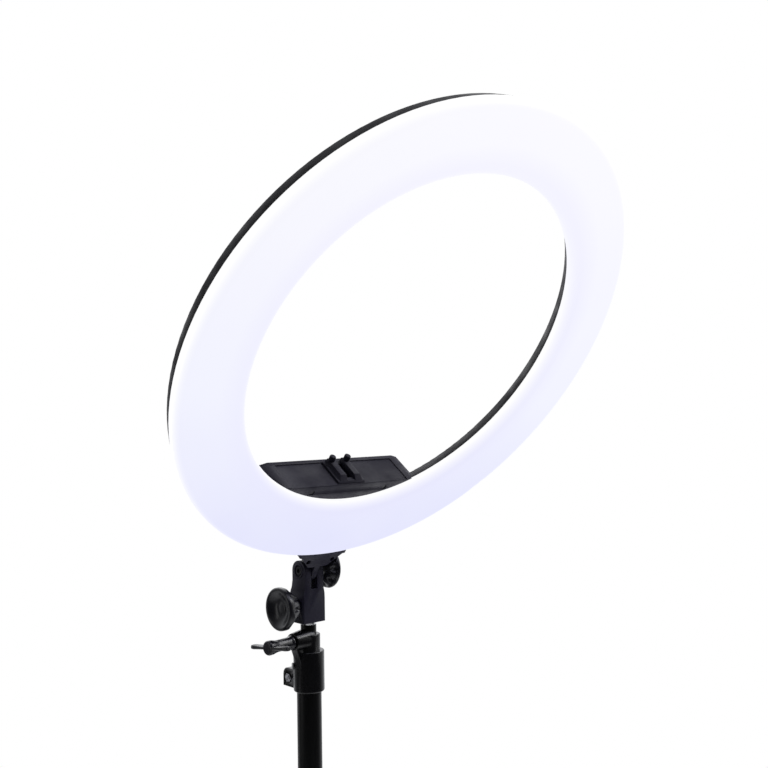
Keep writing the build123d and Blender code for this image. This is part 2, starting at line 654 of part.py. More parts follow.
with BuildPart() as bracket_screws:
    for x in BRACKET_SCREW_X:
        with BuildSketch(shelf_plane(SHELF_DROP - FLANGE_R1, BRACKET_SCREW_DEPTH)):
            with Locations((x, 0)):
                Circle(3.0)
        extrude(amount=-1.8)
        with BuildSketch(shelf_plane(SHELF_DROP - FLANGE_R1, BRACKET_SCREW_DEPTH)):
            with Locations((x, 0)):
                Circle(SCREW_THREAD_R)
        extrude(amount=13)
save(bracket_screws, "bracket_screws")

# ---------------------------------------------------------------- yoke: the fork that holds the tongue
YOKE_FOOT_HALF, YOKE_EAR_HALF = 14.3, 11.8
YOKE_DEPTH_HALF = 10.5
YOKE_BACK = 12.8            # the block below the ears is deeper at the back
YOKE_SHOULDER_Z = 873.0     # the block is full width below this height
EAR_Z = 885.0               # the ears start at this height
BOLT_RECESS_R, BOLT_RECESS = 5.8, 2.2
FORK_GAP_HALF = 4.0
FORK_SLOT_Z = 884.0
SOCKET_DEPTH = 27.0
CLAMP_KNOB_Z = HINGE_Z - 35.0
STUD_R = 3.0
with BuildPart() as yoke:
    with BuildSketch(Plane.XZ):
        with BuildLine():
            Polyline(
                (-YOKE_FOOT_HALF, YOKE_Z),
                (-YOKE_FOOT_HALF, YOKE_SHOULDER_Z),
                (-YOKE_EAR_HALF, EAR_Z),
                (-YOKE_EAR_HALF, HINGE_Z + YOKE_DEPTH_HALF),
                (YOKE_EAR_HALF, HINGE_Z + YOKE_DEPTH_HALF),
                (YOKE_EAR_HALF, EAR_Z),
                (YOKE_FOOT_HALF, YOKE_SHOULDER_Z),
                (YOKE_FOOT_HALF, YOKE_Z),
                close=True,
            )
        make_face()
    extrude(amount=20, both=True)
    with BuildSketch(Plane.YZ):
        with BuildLine():
            Polyline(
                (-YOKE_DEPTH_HALF, YOKE_Z),
                (-YOKE_DEPTH_HALF, HINGE_Z),
                (YOKE_DEPTH_HALF, HINGE_Z),
                (YOKE_DEPTH_HALF, EAR_Z + 7),
                (YOKE_BACK, EAR_Z - 4),
                (YOKE_BACK, YOKE_Z),
                close=True,
            )
        make_face()
        with Locations((0, HINGE_Z)):
            Circle(YOKE_DEPTH_HALF)
    extrude(amount=20, both=True, mode=Mode.INTERSECT)
    with BuildSketch(Plane.XZ):
        with Locations((0, FORK_SLOT_Z)):
            Rectangle(2 * FORK_GAP_HALF, 40, align=(Align.CENTER, Align.MIN))
    extrude(amount=20, both=True, mode=Mode.SUBTRACT)
    corners = edges().filter_by(Axis.Z).filter_by(lambda e: abs(e.center().X) > YOKE_EAR_HALF)
    chamfer(corners.filter_by(lambda e: e.center().Z < YOKE_SHOULDER_Z), 1.2)
    with BuildSketch(Plane.XY.offset(YOKE_Z)):
        Circle(SPIGOT_R + RUN_GAP)
    extrude(amount=SOCKET_DEPTH, mode=Mode.SUBTRACT)
    with BuildSketch(hinge_plane(-20)):
        Circle(HINGE_BOLT_R + RUN_GAP)
    extrude(amount=40, mode=Mode.SUBTRACT)
    with BuildSketch(hinge_plane(-YOKE_EAR_HALF)):
        Circle(7.2)
        Circle(BOLT_RECESS_R, mode=Mode.SUBTRACT)
    extrude(amount=-0.6)
    with BuildSketch(hinge_plane(-YOKE_EAR_HALF)):
        Circle(BOLT_RECESS_R)
    extrude(amount=BOLT_RECESS, mode=Mode.SUBTRACT)
    with BuildSketch(Plane.YZ.offset(-YOKE_FOOT_HALF)):
        with Locations((0, CLAMP_KNOB_Z)):
            Circle(STUD_R + RUN_GAP)
    extrude(amount=YOKE_FOOT_HALF, mode=Mode.SUBTRACT)
save(yoke, "yoke")

BOLT_HEAD_R, BOLT_HEAD = 5.0, 2.4
BOLT_SEAT_X = BOLT_RECESS - YOKE_EAR_HALF
with BuildPart() as tilt_bolt:
    with BuildSketch(hinge_plane(BOLT_SEAT_X)):
        Circle(BOLT_HEAD_R)
    extrude(amount=-BOLT_HEAD)
    fillet(edges().group_by(Axis.X)[0], 0.8)
    with BuildSketch(hinge_plane(BOLT_SEAT_X - BOLT_HEAD)):
        RegularPolygon(2.3, 6)
    extrude(amount=1.6, mode=Mode.SUBTRACT)
    with BuildSketch(hinge_plane(BOLT_SEAT_X)):
        Circle(HINGE_BOLT_R)
    extrude(amount=2 * YOKE_EAR_HALF + 5.4)
save(tilt_bolt, "tilt_bolt")

with BuildPart() as tilt_washers:
    for side in (-1, 1):
        with BuildSketch(hinge_plane(side * (TONGUE_HALF + 0.05))):
            Circle(8.0)
            Circle(HINGE_BOLT_R + RUN_GAP, mode=Mode.SUBTRACT)
        extrude(amount=side * (FORK_GAP_HALF - TONGUE_HALF - 0.1))
save(tilt_washers, "tilt_washers")

KNOB_R = 21.5


def dished_knob(side, start_x, z, bore_r, rim_start, rim_end):
    """A round scalloped knob on an axis along X, dished on its outer face."""
    with BuildPart() as knob:
        with BuildSketch(Plane(origin=(0, 0, z), x_dir=(side, 0, 0), z_dir=(0, -side, 0))):
            with BuildLine():
                Polyline(
                    (start_x, 0),
                    (start_x, 8.5),
                    (start_x + 3.0, 8.5),
                    (start_x + 4.0, 13.5),
                    (rim_start, KNOB_R - 2.5),
                    (rim_start + 2.0, KNOB_R),
                    (rim_end - 2.0, KNOB_R),
                    (rim_end, KNOB_R - 2.0),
                    (rim_end - 1.0, KNOB_R - 5.5),
                    (rim_end - 5.0, KNOB_R - 10.0),
                    (rim_end - 5.5, 0),
                    close=True,
                )
            make_face()
        revolve(axis=Axis((0, 0, z), (1, 0, 0)))
        with BuildSketch(Plane(origin=(side * start_x, 0, z), x_dir=(0, side, 0), z_dir=(side, 0, 0))):
            with PolarLocations(KNOB_R + 0.5, 8, start_angle=22.5):
                Circle(4.6)
        extrude(amount=rim_start - start_x + 0.6, mode=Mode.SUBTRACT)
        with BuildSketch(Plane(origin=(side * start_x, 0, z), x_dir=(0, side, 0), z_dir=(side, 0, 0))):
            Circle(bore_r)
        extrude(amount=(rim_end - 5.5 - start_x) * 0.8, mode=Mode.SUBTRACT)
    return knob


CLAMP_KNOB_START = YOKE_FOOT_HALF + 1.2
CLAMP_KNOB_END = 38.5
save(
    dished_knob(-1, CLAMP_KNOB_START, CLAMP_KNOB_Z, STUD_R + FIXED_GAP, 30.0, CLAMP_KNOB_END),
    "clamp_knob",
)
TILT_KNOB_START = YOKE_EAR_HALF + 0.6
TILT_KNOB_END = 27.0
save(
    dished_knob(1, TILT_KNOB_START, HINGE_Z, HINGE_BOLT_R + RUN_GAP, 19.0, TILT_KNOB_END),
    "tilt_knob",
)

SPIGOT_WAIST_R = 6.5
with BuildPart() as clamp_stud:
    with BuildSketch(Plane.YZ.offset(-SPIGOT_WAIST_R - 0.15)):
        with Locations((0, CLAMP_KNOB_Z)):
            Circle(STUD_R)
    extrude(amount=-(27.0 - SPIGOT_WAIST_R))
    chamfer(edges().group_by(Axis.X)[-1], 0.8)
save(clamp_stud, "clamp_stud")

# ---------------------------------------------------------------- column: tubes, spigot, glides, plug
NECK_TOP = YOKE_Z - 2.8         # the spigot's bare shoulder shows between the yoke and the tube
with BuildPart() as spigot:
    with BuildSketch(Plane.XY.offset(NECK_TOP)):
        Circle(SPIGOT_R)
    extrude(amount=YOKE_Z - NECK_TOP + SOCKET_DEPTH - 0.6)
    chamfer(edges().group_by(Axis.Z)[-1], 1.0)
    with BuildSketch(Plane.XY.offset(CLAMP_KNOB_Z - 5)):
        Circle(SPIGOT_R + 1)
        Circle(SPIGOT_WAIST_R, mode=Mode.SUBTRACT)
    extrude(amount=10, mode=Mode.SUBTRACT)
    with BuildSketch(Plane.XY.offset(NECK_TOP)):
        Circle(TOP_TUBE_BORE - FIXED_GAP)
    extrude(amount=-32)
save(spigot, "spigot")


def tube(radius, bore, z_low, length):
    with BuildPart() as piece:
        with BuildSketch(Plane.XY.offset(z_low)):
            Circle(radius)
            Circle(bore, mode=Mode.SUBTRACT)
        extrude(amount=length)
    return piece


TOP_TUBE_Z = NECK_TOP - TOP_TUBE_LENGTH
MID_TUBE_Z = UPPER_COLLAR_Z + COLLAR_SEAT - MID_TUBE_LENGTH
save(tube(TOP_TUBE_R, TOP_TUBE_BORE, TOP_TUBE_Z, TOP_TUBE_LENGTH), "top_tube")
save(tube(MID_TUBE_R, MID_TUBE_BORE, MID_TUBE_Z, MID_TUBE_LENGTH), "mid_tube")
save(tube(BASE_TUBE_R, BASE_TUBE_BORE, BASE_TUBE_FOOT, BASE_TUBE_TOP - BASE_TUBE_FOOT), "base_tube")
save(tube(MID_TUBE_BORE - RUN_GAP, TOP_TUBE_R + FIXED_GAP, TOP_TUBE_Z, 26), "top_tube_glide")
save(tube(BASE_TUBE_BORE - RUN_GAP, MID_TUBE_R + FIXED_GAP, MID_TUBE_Z, 28), "mid_tube_glide")

PLUG_Z = 14.0
with BuildPart() as column_plug:
    with BuildSketch(Plane.XY.offset(PLUG_Z)):
        Circle(BASE_TUBE_R)
    extrude(amount=BASE_TUBE_FOOT - PLUG_Z)
    fillet(edges().group_by(Axis.Z)[0], 2.5)
    with BuildSketch(Plane.XY.offset(BASE_TUBE_FOOT)):
        Circle(BASE_TUBE_BORE - FIXED_GAP)
    extrude(amount=18)
save(column_plug, "column_plug")

# ---------------------------------------------------------------- collars between the tubes
KNOB_ANGLE = 186.0          # direction of the collars' wing knobs around the column
BOSS_REACH = 22.5
BOSS_ROOT_R, BOSS_TAPER = 11.5, 7.3
WEB_HEIGHT, WEB_HALF = 9.0, 4.5
EAR_HALF, EAR_REACH, EAR_HEIGHT = 6.5, 35.0, 19.0
EAR_BOLT_Y, EAR_BOLT_Z = 26.5, 8.8
EAR_BOLT_R = 2.5
NUT_R, NUT_POCKET_R, NUT_POCKET = 4.6, 5.2, 2.4
WING_SCREW_R = 3.0


def collar(z, outer_tube_r, inner_tube_r, grow):
    """A moulded collar: it clamps the lower tube's end and guides the upper tube."""
    sleeve_r = outer_tube_r + 3.25
    neck_r = inner_tube_r + 3.75
    with BuildPart() as piece:
        with BuildSketch(Plane.XY.offset(z)):
            Circle(sleeve_r)
        extrude(amount=COLLAR_SLEEVE)
        fillet(edges().group_by(Axis.Z)[0], 1.8)
        fillet(edges().group_by(Axis.Z)[-1], 1.0)
        with BuildSketch(Plane.XY.offset(z + COLLAR_SLEEVE - 1)):
            Circle(neck_r)
        extrude(amount=COLLAR_NECK + 1)
        fillet(edges().group_by(Axis.Z)[-1], 1.2)
        # boss for the wing knob's screw
        with BuildSketch(radial_plane(KNOB_ANGLE, 0, z + COLLAR_KNOB_HEIGHT)):
            Circle(BOSS_ROOT_R)
        extrude(amount=BOSS_REACH + grow, taper=BOSS_TAPER)
        # a web that props the boss on the sleeve
        with BuildSketch(side_plane(KNOB_ANGLE, 0, z)):
            with BuildLine():
                Polyline(
                    (neck_r - 2, COLLAR_SLEEVE - WEB_HEIGHT),
                    (sleeve_r - 0.3, COLLAR_SLEEVE - WEB_HEIGHT),
                    (BOSS_REACH + grow - 1.5, COLLAR_KNOB_HEIGHT - 6),
                    (neck_r - 2, COLLAR_KNOB_HEIGHT - 6),
                    close=True,
                )
            make_face()
        extrude(amount=WEB_HALF, both=True)
        # two clamp ears at the back
        with BuildSketch(Plane.YZ):
            with Locations((0, z)):
                Rectangle(EAR_REACH + grow, EAR_HEIGHT, align=(Align.MIN, Align.MIN))
            fillet(vertices().group_by(Axis.Y)[-1], 7.5)
        extrude(amount=EAR_HALF, both=True)
        # a rivet boss on the sleeve
        with BuildSketch(radial_plane(158, 0, z + 26)):
            Circle(3.4)
        extrude(amount=sleeve_r + 1.5)
        rims = edges().filter_by(GeomType.CIRCLE)
        fillet(rims.sort_by(lambda e: e.center().dot(radial(158, 1)))[-1], 1.0)
        with BuildSketch(Plane.XY.offset(z - 1)):
            Circle(outer_tube_r + FIXED_GAP)
        extrude(amount=COLLAR_SEAT + 1, mode=Mode.SUBTRACT)
        with BuildSketch(Plane.XY.offset(z)):
            Circle(inner_tube_r + RUN_GAP)
        extrude(amount=COLLAR_KNOB_HEIGHT + 2 * BOSS_ROOT_R, mode=Mode.SUBTRACT)
        with BuildSketch(radial_plane(KNOB_ANGLE, 0, z + COLLAR_KNOB_HEIGHT)):
            Circle(WING_SCREW_R + RUN_GAP)
        extrude(amount=BOSS_REACH + grow + 1, mode=Mode.SUBTRACT)
        # the slit that lets the ears close, and the bolt's hole through them
        with BuildSketch(Plane.YZ):
            with Locations((outer_tube_r - 4, z - 1)):
                Rectangle(50, EAR_HEIGHT + 7, align=(Align.MIN, Align.MIN))
        extrude(amount=0.9, both=True, mode=Mode.SUBTRACT)
        with BuildSketch(Plane.YZ):
            with Locations((EAR_BOLT_Y + grow, z + EAR_BOLT_Z)):
                Circle(EAR_BOLT_R + 0.1)
        extrude(amount=20, both=True, mode=Mode.SUBTRACT)
        with BuildSketch(Plane.YZ.offset(-EAR_HALF)):
            with Locations((EAR_BOLT_Y + grow, z + EAR_BOLT_Z)):
                Circle(NUT_POCKET_R)
        extrude(amount=NUT_POCKET, mode=Mode.SUBTRACT)
    return piece


def collar_bolt(z, grow):
    """The bolt and nut that close a collar's ears."""
    with BuildPart() as piece:
        with BuildSketch(Plane.YZ.offset(-EAR_HALF - 1.4)):
            with Locations((EAR_BOLT_Y + grow, z + EAR_BOLT_Z)):
                Circle(EAR_BOLT_R)
        extrude(amount=2 * EAR_HALF + 1.4)
        with BuildSketch(Plane.YZ.offset(EAR_HALF)):
            with Locations((EAR_BOLT_Y + grow, z + EAR_BOLT_Z)):
                Circle(4.3)
        extrude(amount=3.4)
        fillet(edges().group_by(Axis.X)[-1], 1.2)
        with BuildSketch(Plane.YZ.offset(NUT_POCKET - EAR_HALF)):
            with Locations((EAR_BOLT_Y + grow, z + EAR_BOLT_Z)):
                RegularPolygon(NUT_R, 6)
                Circle(EAR_BOLT_R + FIXED_GAP, mode=Mode.SUBTRACT)
        extrude(amount=-NUT_POCKET - 0.8)
    return piece


HUB_R = 6.0
WING_START = 46.0
WING_END = 57.0
WING_HALF, WING_THICKNESS = 27.0, 5.0


def wing_knob(z, grow):
    """The T-shaped clamping knob of a collar."""
    height = z + COLLAR_KNOB_HEIGHT
    with BuildPart() as knob:
        with BuildSketch(radial_plane(KNOB_ANGLE, BOSS_REACH + grow + 0.8, height)):
            Circle(HUB_R)
            with PolarLocations(HUB_R + 0.3, 10):
                Circle(0.9, mode=Mode.SUBTRACT)
        extrude(amount=WING_START - BOSS_REACH - 0.8)
        with BuildSketch(radial_plane(KNOB_ANGLE, WING_START + grow, height)):
            SlotOverall(2 * WING_HALF, WING_THICKNESS, rotation=6)
            Circle(HUB_R + 0.4)
        extrude(amount=WING_END - WING_START)
        with BuildSketch(radial_plane(KNOB_ANGLE, BOSS_REACH + grow, height)):
            Circle(WING_SCREW_R + FIXED_GAP)
        extrude(amount=24, mode=Mode.SUBTRACT)
    return knob


def wing_screw(z, inner_tube_r, grow):
    with BuildPart() as screw:
        with BuildSketch(radial_plane(KNOB_ANGLE, inner_tube_r + 0.4, z + COLLAR_KNOB_HEIGHT)):
            Circle(WING_SCREW_R)
        extrude(amount=BOSS_REACH + grow + 22 - inner_tube_r)
    return screw


LOWER_GROW = 3.5            # the lower collar is this much larger than the upper one
save(collar(UPPER_COLLAR_Z, MID_TUBE_R, TOP_TUBE_R, 0), "upper_collar")
save(collar_bolt(UPPER_COLLAR_Z, 0), "upper_collar_bolt")
save(wing_knob(UPPER_COLLAR_Z, 0), "upper_wing_knob")
save(wing_screw(UPPER_COLLAR_Z, TOP_TUBE_R, 0), "upper_wing_screw")
save(collar(LOWER_COLLAR_Z, BASE_TUBE_R, MID_TUBE_R, LOWER_GROW), "lower_collar")
save(collar_bolt(LOWER_COLLAR_Z, LOWER_GROW), "lower_collar_bolt")
save(wing_knob(LOWER_COLLAR_Z, LOWER_GROW), "lower_wing_knob")
save(wing_screw(LOWER_COLLAR_Z, MID_TUBE_R, LOWER_GROW), "lower_wing_screw")

# ---------------------------------------------------------------- leg hub and its knob
HUB_BODY_R = 19.5
LUG_HALF, LUG_R = 7.4, 8.0
TONGUE_SLOT_HALF = 2.6
LEG_TONGUE_HALF = 2.4
HUB_BELOW, HUB_ABOVE = 13.0, 21.0
HUB_KNOB_ANGLE = 90.0
HUB_KNOB_R, HUB_KNOB_LENGTH = 12.5, 15.0


def hub_body(z, below, above, bore):
    """The round body of a hub, with a lug standing out towards each leg."""
    with BuildPart() as body:
        with BuildSketch(Plane.XY.offset(z - below)):
            Circle(HUB_BODY_R)
        extrude(amount=below + above)
        fillet(edges().filter_by(GeomType.CIRCLE), 1.5)
        for angle in LEG_ANGLES:
            with BuildSketch(side_plane(angle, 0, z)):
                with Locations((PIVOT_R, 0)):
                    Circle(LUG_R)
                Rectangle(PIVOT_R, 2 * LUG_R, align=(Align.MIN, Align.CENTER))
            extrude(amount=LUG_HALF, both=True)
        with BuildSketch(Plane.XY.offset(z - below)):
            Circle(bore)
        extrude(amount=below + above, mode=Mode.SUBTRACT)
    return body.part


with BuildPart() as leg_hub:
    add(hub_body(LEG_HUB_Z, HUB_BELOW, HUB_ABOVE, BASE_TUBE_R + RUN_GAP))
    with BuildSketch(radial_plane(HUB_KNOB_ANGLE, BASE_TUBE_R + 2, LEG_HUB_Z + 7)):
        Circle(7.5)
    extrude(amount=8.5)
    for angle in LEG_ANGLES:
        with BuildSketch(side_plane(angle, 0, LEG_HUB_Z)):
            with Locations((PIVOT_R - 9.5, -20)):
                Rectangle(30, 40, align=(Align.MIN, Align.MIN))
        extrude(amount=TONGUE_SLOT_HALF, both=True, mode=Mode.SUBTRACT)
        with BuildSketch(side_plane(angle, 0, LEG_HUB_Z)):
            with Locations((PIVOT_R, 0)):
                Circle(PIN_R + FIXED_GAP)
        extrude(amount=LUG_HALF + 1, both=True, mode=Mode.SUBTRACT)
    with BuildSketch(radial_plane(HUB_KNOB_ANGLE, 0, LEG_HUB_Z + 7)):
        Circle(WING_SCREW_R + RUN_GAP)
    extrude(amount=40, mode=Mode.SUBTRACT)
save(leg_hub, "leg_hub")

with BuildPart() as leg_hub_knob:
    with BuildSketch(radial_plane(HUB_KNOB_ANGLE, 26.0, LEG_HUB_Z + 7)):
        Circle(7)
    extrude(amount=4)
    with BuildSketch(radial_plane(HUB_KNOB_ANGLE, 29.0, LEG_HUB_Z + 7)):
        Circle(HUB_KNOB_R)
        with PolarLocations(HUB_KNOB_R + 1.8, 6):
            Circle(3.6, mode=Mode.SUBTRACT)
    extrude(amount=HUB_KNOB_LENGTH)
    fillet(edges().group_by(Axis.Y)[-1], 1.5)
    with BuildSketch(radial_plane(HUB_KNOB_ANGLE, 25.0, LEG_HUB_Z + 7)):
        Circle(WING_SCREW_R + FIXED_GAP)
    extrude(amount=13, mode=Mode.SUBTRACT)
save(leg_hub_knob, "leg_hub_knob")

with BuildPart() as leg_hub_screw:
    with BuildSketch(radial_plane(HUB_KNOB_ANGLE, BASE_TUBE_R + 0.4, LEG_HUB_Z + 7)):
        Circle(WING_SCREW_R)
    extrude(amount=22)
save(leg_hub_screw, "leg_hub_screw")


def pivot_pins(z, half_length):
    """Three headed pins, one across each lug of a hub."""
    with BuildPart() as pins:
        for angle in LEG_ANGLES:
            with BuildSketch(side_plane(angle, 0, z)):
                with Locations((PIVOT_R, 0)):
                    Circle(PIN_R)
            extrude(amount=half_length, both=True)
            for side in (-1, 1):
                with BuildSketch(side_plane(angle, side * half_length, z)):
                    with Locations((PIVOT_R, 0)):
                        Circle(PIN_R + 1.7)
                extrude(amount=side * 1.6)
    return pins


save(pivot_pins(LEG_HUB_Z, LUG_HALF + 0.1), "leg_hub_pins")

# ---------------------------------------------------------------- brace hub at the column's foot
STRAP_INNER = LEG_R + 0.7
STRAP_THICKNESS = 2.0
STRAP_HALF_WIDTH = 6.0
with BuildPart() as brace_hub:
    add(hub_body(BRACE_HUB_Z, 10.0, 14.0, BASE_TUBE_R + FIXED_GAP))
    for angle in LEG_ANGLES:
        with BuildSketch(side_plane(angle, 0, BRACE_HUB_Z)):
            with Locations((PIVOT_R, 0)):
                Circle(PIN_R + FIXED_GAP)
        extrude(amount=LUG_HALF + 1, both=True, mode=Mode.SUBTRACT)
save(brace_hub, "brace_hub")
save(pivot_pins(BRACE_HUB_Z, STRAP_INNER + STRAP_THICKNESS + 0.1), "brace_hub_pins")

# ---------------------------------------------------------------- legs, feet and braces
LEG_WALL = 1.2
FOOT_R = 9.5
FOOT_LENGTH = 34.0
FOOT_OVERHANG = 6.0


def leg_plane(angle, along):
    """The plane square to a leg, a distance down it from its pivot; x is across the leg."""
    tangent = Vector(-sin(radians(angle)), cos(radians(angle)), 0)
    down = radial(angle, sin(radians(LEG_SPREAD))) - Vector(0, 0, cos(radians(LEG_SPREAD)))
    return Plane(origin=radial(angle, PIVOT_R, LEG_HUB_Z) + down * along, x_dir=tangent, z_dir=down)


def leg(angle):
    """A tube whose top end is pressed flat into a tongue for the hub's lug."""
    with BuildPart() as piece:
        with BuildSketch(leg_plane(angle, 24)):
            Circle(LEG_R)
        extrude(amount=LEG_LENGTH - 24)
        with BuildSketch(leg_plane(angle, 30)):
            Circle(LEG_R - LEG_WALL)
        extrude(amount=LEG_LENGTH - 29, mode=Mode.SUBTRACT)
        with BuildSketch(leg_plane(angle, 0)):
            Rectangle(2 * LEG_TONGUE_HALF, 2 * LEG_R - 1)
        extrude(amount=27)
        with BuildSketch(side_plane(angle, 0, LEG_HUB_Z)):
            with Locations((PIVOT_R, 0)):
                Circle(LEG_R - 0.5)
        extrude(amount=LEG_TONGUE_HALF, both=True)
        with BuildSketch(side_plane(angle, 0, LEG_HUB_Z)):
            with Locations((PIVOT_R, 0)):
                Circle(PIN_R + RUN_GAP)
        extrude(amount=20, both=True, mode=Mode.SUBTRACT)
    return piece


def foot(angle):
    """A rubber boot on a leg's end, cut flat where it stands on the floor."""
    with BuildPart() as piece:
        with BuildSketch(leg_plane(angle, LEG_LENGTH + FOOT_OVERHANG - FOOT_LENGTH)):
            Circle(FOOT_R)
        extrude(amount=FOOT_LENGTH)
        fillet(edges().filter_by(GeomType.CIRCLE), 1.5)
        with BuildSketch(leg_plane(angle, LEG_LENGTH - 40)):
            Circle(LEG_R + FIXED_GAP)
        extrude(amount=40 + FIXED_GAP, mode=Mode.SUBTRACT)
        split(bisect_by=Plane.XY, keep=Keep.TOP)
    return piece


def brace(angle):
    """A pair of flat straps from the brace hub to a leg, each with its rivet's head."""
    tangent = Vector(-sin(radians(angle)), cos(radians(angle)), 0)
    up = radial(angle, sin(radians(LEG_SPREAD))) + Vector(0, 0, cos(radians(LEG_SPREAD)))
    with BuildPart() as piece:
        for side in (-1, 1):
            origin = radial(angle, PIVOT_R, BRACE_HUB_Z) + tangent * (side * STRAP_INNER)
            with BuildSketch(Plane(origin=origin, x_dir=up, z_dir=tangent * side)):
                with Locations((BRACE_LENGTH / 2, 0)):
                    SlotOverall(BRACE_LENGTH + 2 * STRAP_HALF_WIDTH, 2 * STRAP_HALF_WIDTH)
                Circle(PIN_R + RUN_GAP, mode=Mode.SUBTRACT)
            extrude(amount=STRAP_THICKNESS)
            outer = origin + tangent * (side * STRAP_THICKNESS)
            with BuildSketch(Plane(origin=outer, x_dir=up, z_dir=tangent * side)):
                with Locations((BRACE_LENGTH, 0)):
                    Circle(4.2)
            extrude(amount=1.6)
    return piece


for number, leg_angle in enumerate(LEG_ANGLES, start=1):
    save(leg(leg_angle), f"leg_{number}")
    save(foot(leg_angle), f"foot_{number}")
    save(brace(leg_angle), f"brace_{number}")
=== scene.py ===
import json
import math

import bmesh
import bpy
from mathutils import Matrix, Vector


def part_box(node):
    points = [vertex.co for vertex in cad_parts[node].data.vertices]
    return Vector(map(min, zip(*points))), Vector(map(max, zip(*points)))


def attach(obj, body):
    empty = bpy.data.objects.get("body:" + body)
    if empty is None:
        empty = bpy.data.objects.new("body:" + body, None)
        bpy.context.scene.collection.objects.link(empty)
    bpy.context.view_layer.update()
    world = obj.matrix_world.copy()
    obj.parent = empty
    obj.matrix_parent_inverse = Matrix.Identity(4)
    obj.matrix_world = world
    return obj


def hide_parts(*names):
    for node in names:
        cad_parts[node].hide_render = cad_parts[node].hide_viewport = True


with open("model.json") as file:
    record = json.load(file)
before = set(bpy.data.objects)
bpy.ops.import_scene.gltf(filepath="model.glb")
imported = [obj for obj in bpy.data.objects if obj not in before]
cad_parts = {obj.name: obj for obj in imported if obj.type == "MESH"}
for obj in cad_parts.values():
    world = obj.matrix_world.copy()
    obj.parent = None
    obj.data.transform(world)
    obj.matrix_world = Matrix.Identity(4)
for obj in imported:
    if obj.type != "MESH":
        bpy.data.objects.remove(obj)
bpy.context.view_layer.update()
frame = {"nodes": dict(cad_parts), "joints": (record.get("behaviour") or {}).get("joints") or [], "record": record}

MM = 0.001
RECORD = frame["record"]
MOUNTS = {mount["name"]: mount for mount in RECORD["mounts"]}
JOINTS = {joint["name"]: joint for joint in frame["joints"]}
SLOTS = {part["node"]: part["material_slot"] for part in RECORD["subparts"]}


# ------------------------------------------------------------------ frames taken from the CAD
X_AXIS = Vector((1, 0, 0))
Z_AXIS = Vector((0, 0, 1))
RING_UP = Vector(MOUNTS["accessory_rail"]["axis"]).normalized()
RING_FRONT = -Vector(MOUNTS["power_socket"]["axis"]).normalized()


def span(node, direction):
    """How far a CAD node reaches along a direction: (lowest, highest)."""
    reach = [vertex.co.dot(direction) for vertex in frame["nodes"][node].data.vertices]
    return min(reach), max(reach)


def ring_frame():
    """The centre of the ring's front face, and the ring's outer radius."""
    low_x, high_x = span("diffuser", X_AXIS)
    low_up, high_up = span("diffuser", RING_UP)
    front = span("diffuser", RING_FRONT)[1]
    centre = X_AXIS * ((low_x + high_x) / 2) + RING_UP * ((low_up + high_up) / 2) + RING_FRONT * front
    return centre, (high_up - low_up) / 2


RING_CENTRE, RING_R = ring_frame()


# ------------------------------------------------------------------ node material helpers
def empty_tree(owner):
    """Switches an owner's shader nodes on and clears them."""
    owner.use_nodes = True
    owner.node_tree.nodes.clear()
    return owner.node_tree


def new_material(name):
    material = bpy.data.materials.new(name)
    tree = empty_tree(material)
    output = tree.nodes.new("ShaderNodeOutputMaterial")
    shader = tree.nodes.new("ShaderNodeBsdfPrincipled")
    tree.links.new(shader.outputs["BSDF"], output.inputs["Surface"])
    return material, tree, shader


def add_node(tree, kind, **settings):
    node = tree.nodes.new(kind)
    for key, value in settings.items():
        if key in node.inputs:
            node.inputs[key].default_value = value
        else:
            setattr(node, key, value)
    return node


def object_coords(tree, scale=(1, 1, 1)):
    coords = tree.nodes.new("ShaderNodeTexCoord")
    mapping = tree.nodes.new("ShaderNodeMapping")
    mapping.inputs["Scale"].default_value = scale
    tree.links.new(coords.outputs["Object"], mapping.inputs["Vector"])
    return mapping.outputs["Vector"]


def noise_field(tree, vector, scale, detail=3.0, roughness=0.5):
    node = add_node(tree, "ShaderNodeTexNoise", Scale=scale, Detail=detail, Roughness=roughness)
    tree.links.new(vector, node.inputs["Vector"])
    return node.outputs["Fac"]


def remap(tree, value, low, high, to_low, to_high):
    node = tree.nodes.new("ShaderNodeMapRange")
    node.clamp = True
    tree.links.new(value, node.inputs["Value"])
    for key, number in (("From Min", low), ("From Max", high), ("To Min", to_low), ("To Max", to_high)):
        node.inputs[key].default_value = number
    return node.outputs["Result"]


def mix_colour(tree, factor, first, second):
    node = tree.nodes.new("ShaderNodeMix")
    node.data_type = "RGBA"
    tree.links.new(factor, node.inputs["Factor"])
    for socket, colour in ((node.inputs[6], first), (node.inputs[7], second)):
        if isinstance(colour, tuple):
            socket.default_value = (*colour, 1)
        else:
            tree.links.new(colour, socket)
    return node.outputs[2]


def along(tree, vector, direction):
    """How far a vector reaches along a fixed direction."""
    dot = add_node(tree, "ShaderNodeVectorMath", operation="DOT_PRODUCT")
    tree.links.new(vector, dot.inputs[0])
    dot.inputs[1].default_value = direction
    return dot.outputs["Value"]


def length_of(tree, vector):
    length = add_node(tree, "ShaderNodeVectorMath", operation="LENGTH")
    tree.links.new(vector, length.inputs[0])
    return length.outputs["Value"]


def bump(tree, shader, height, distance, strength):
    node = add_node(tree, "ShaderNodeBump", Strength=strength, Distance=distance)
    tree.links.new(height, node.inputs["Height"])
    tree.links.new(node.outputs["Normal"], shader.inputs["Normal"])


def tinted(colour, gain, lift=0.0):
    """A colour made brighter or darker, and no brighter than white."""
    return tuple(min(1.0, channel * gain + lift) for channel in colour)


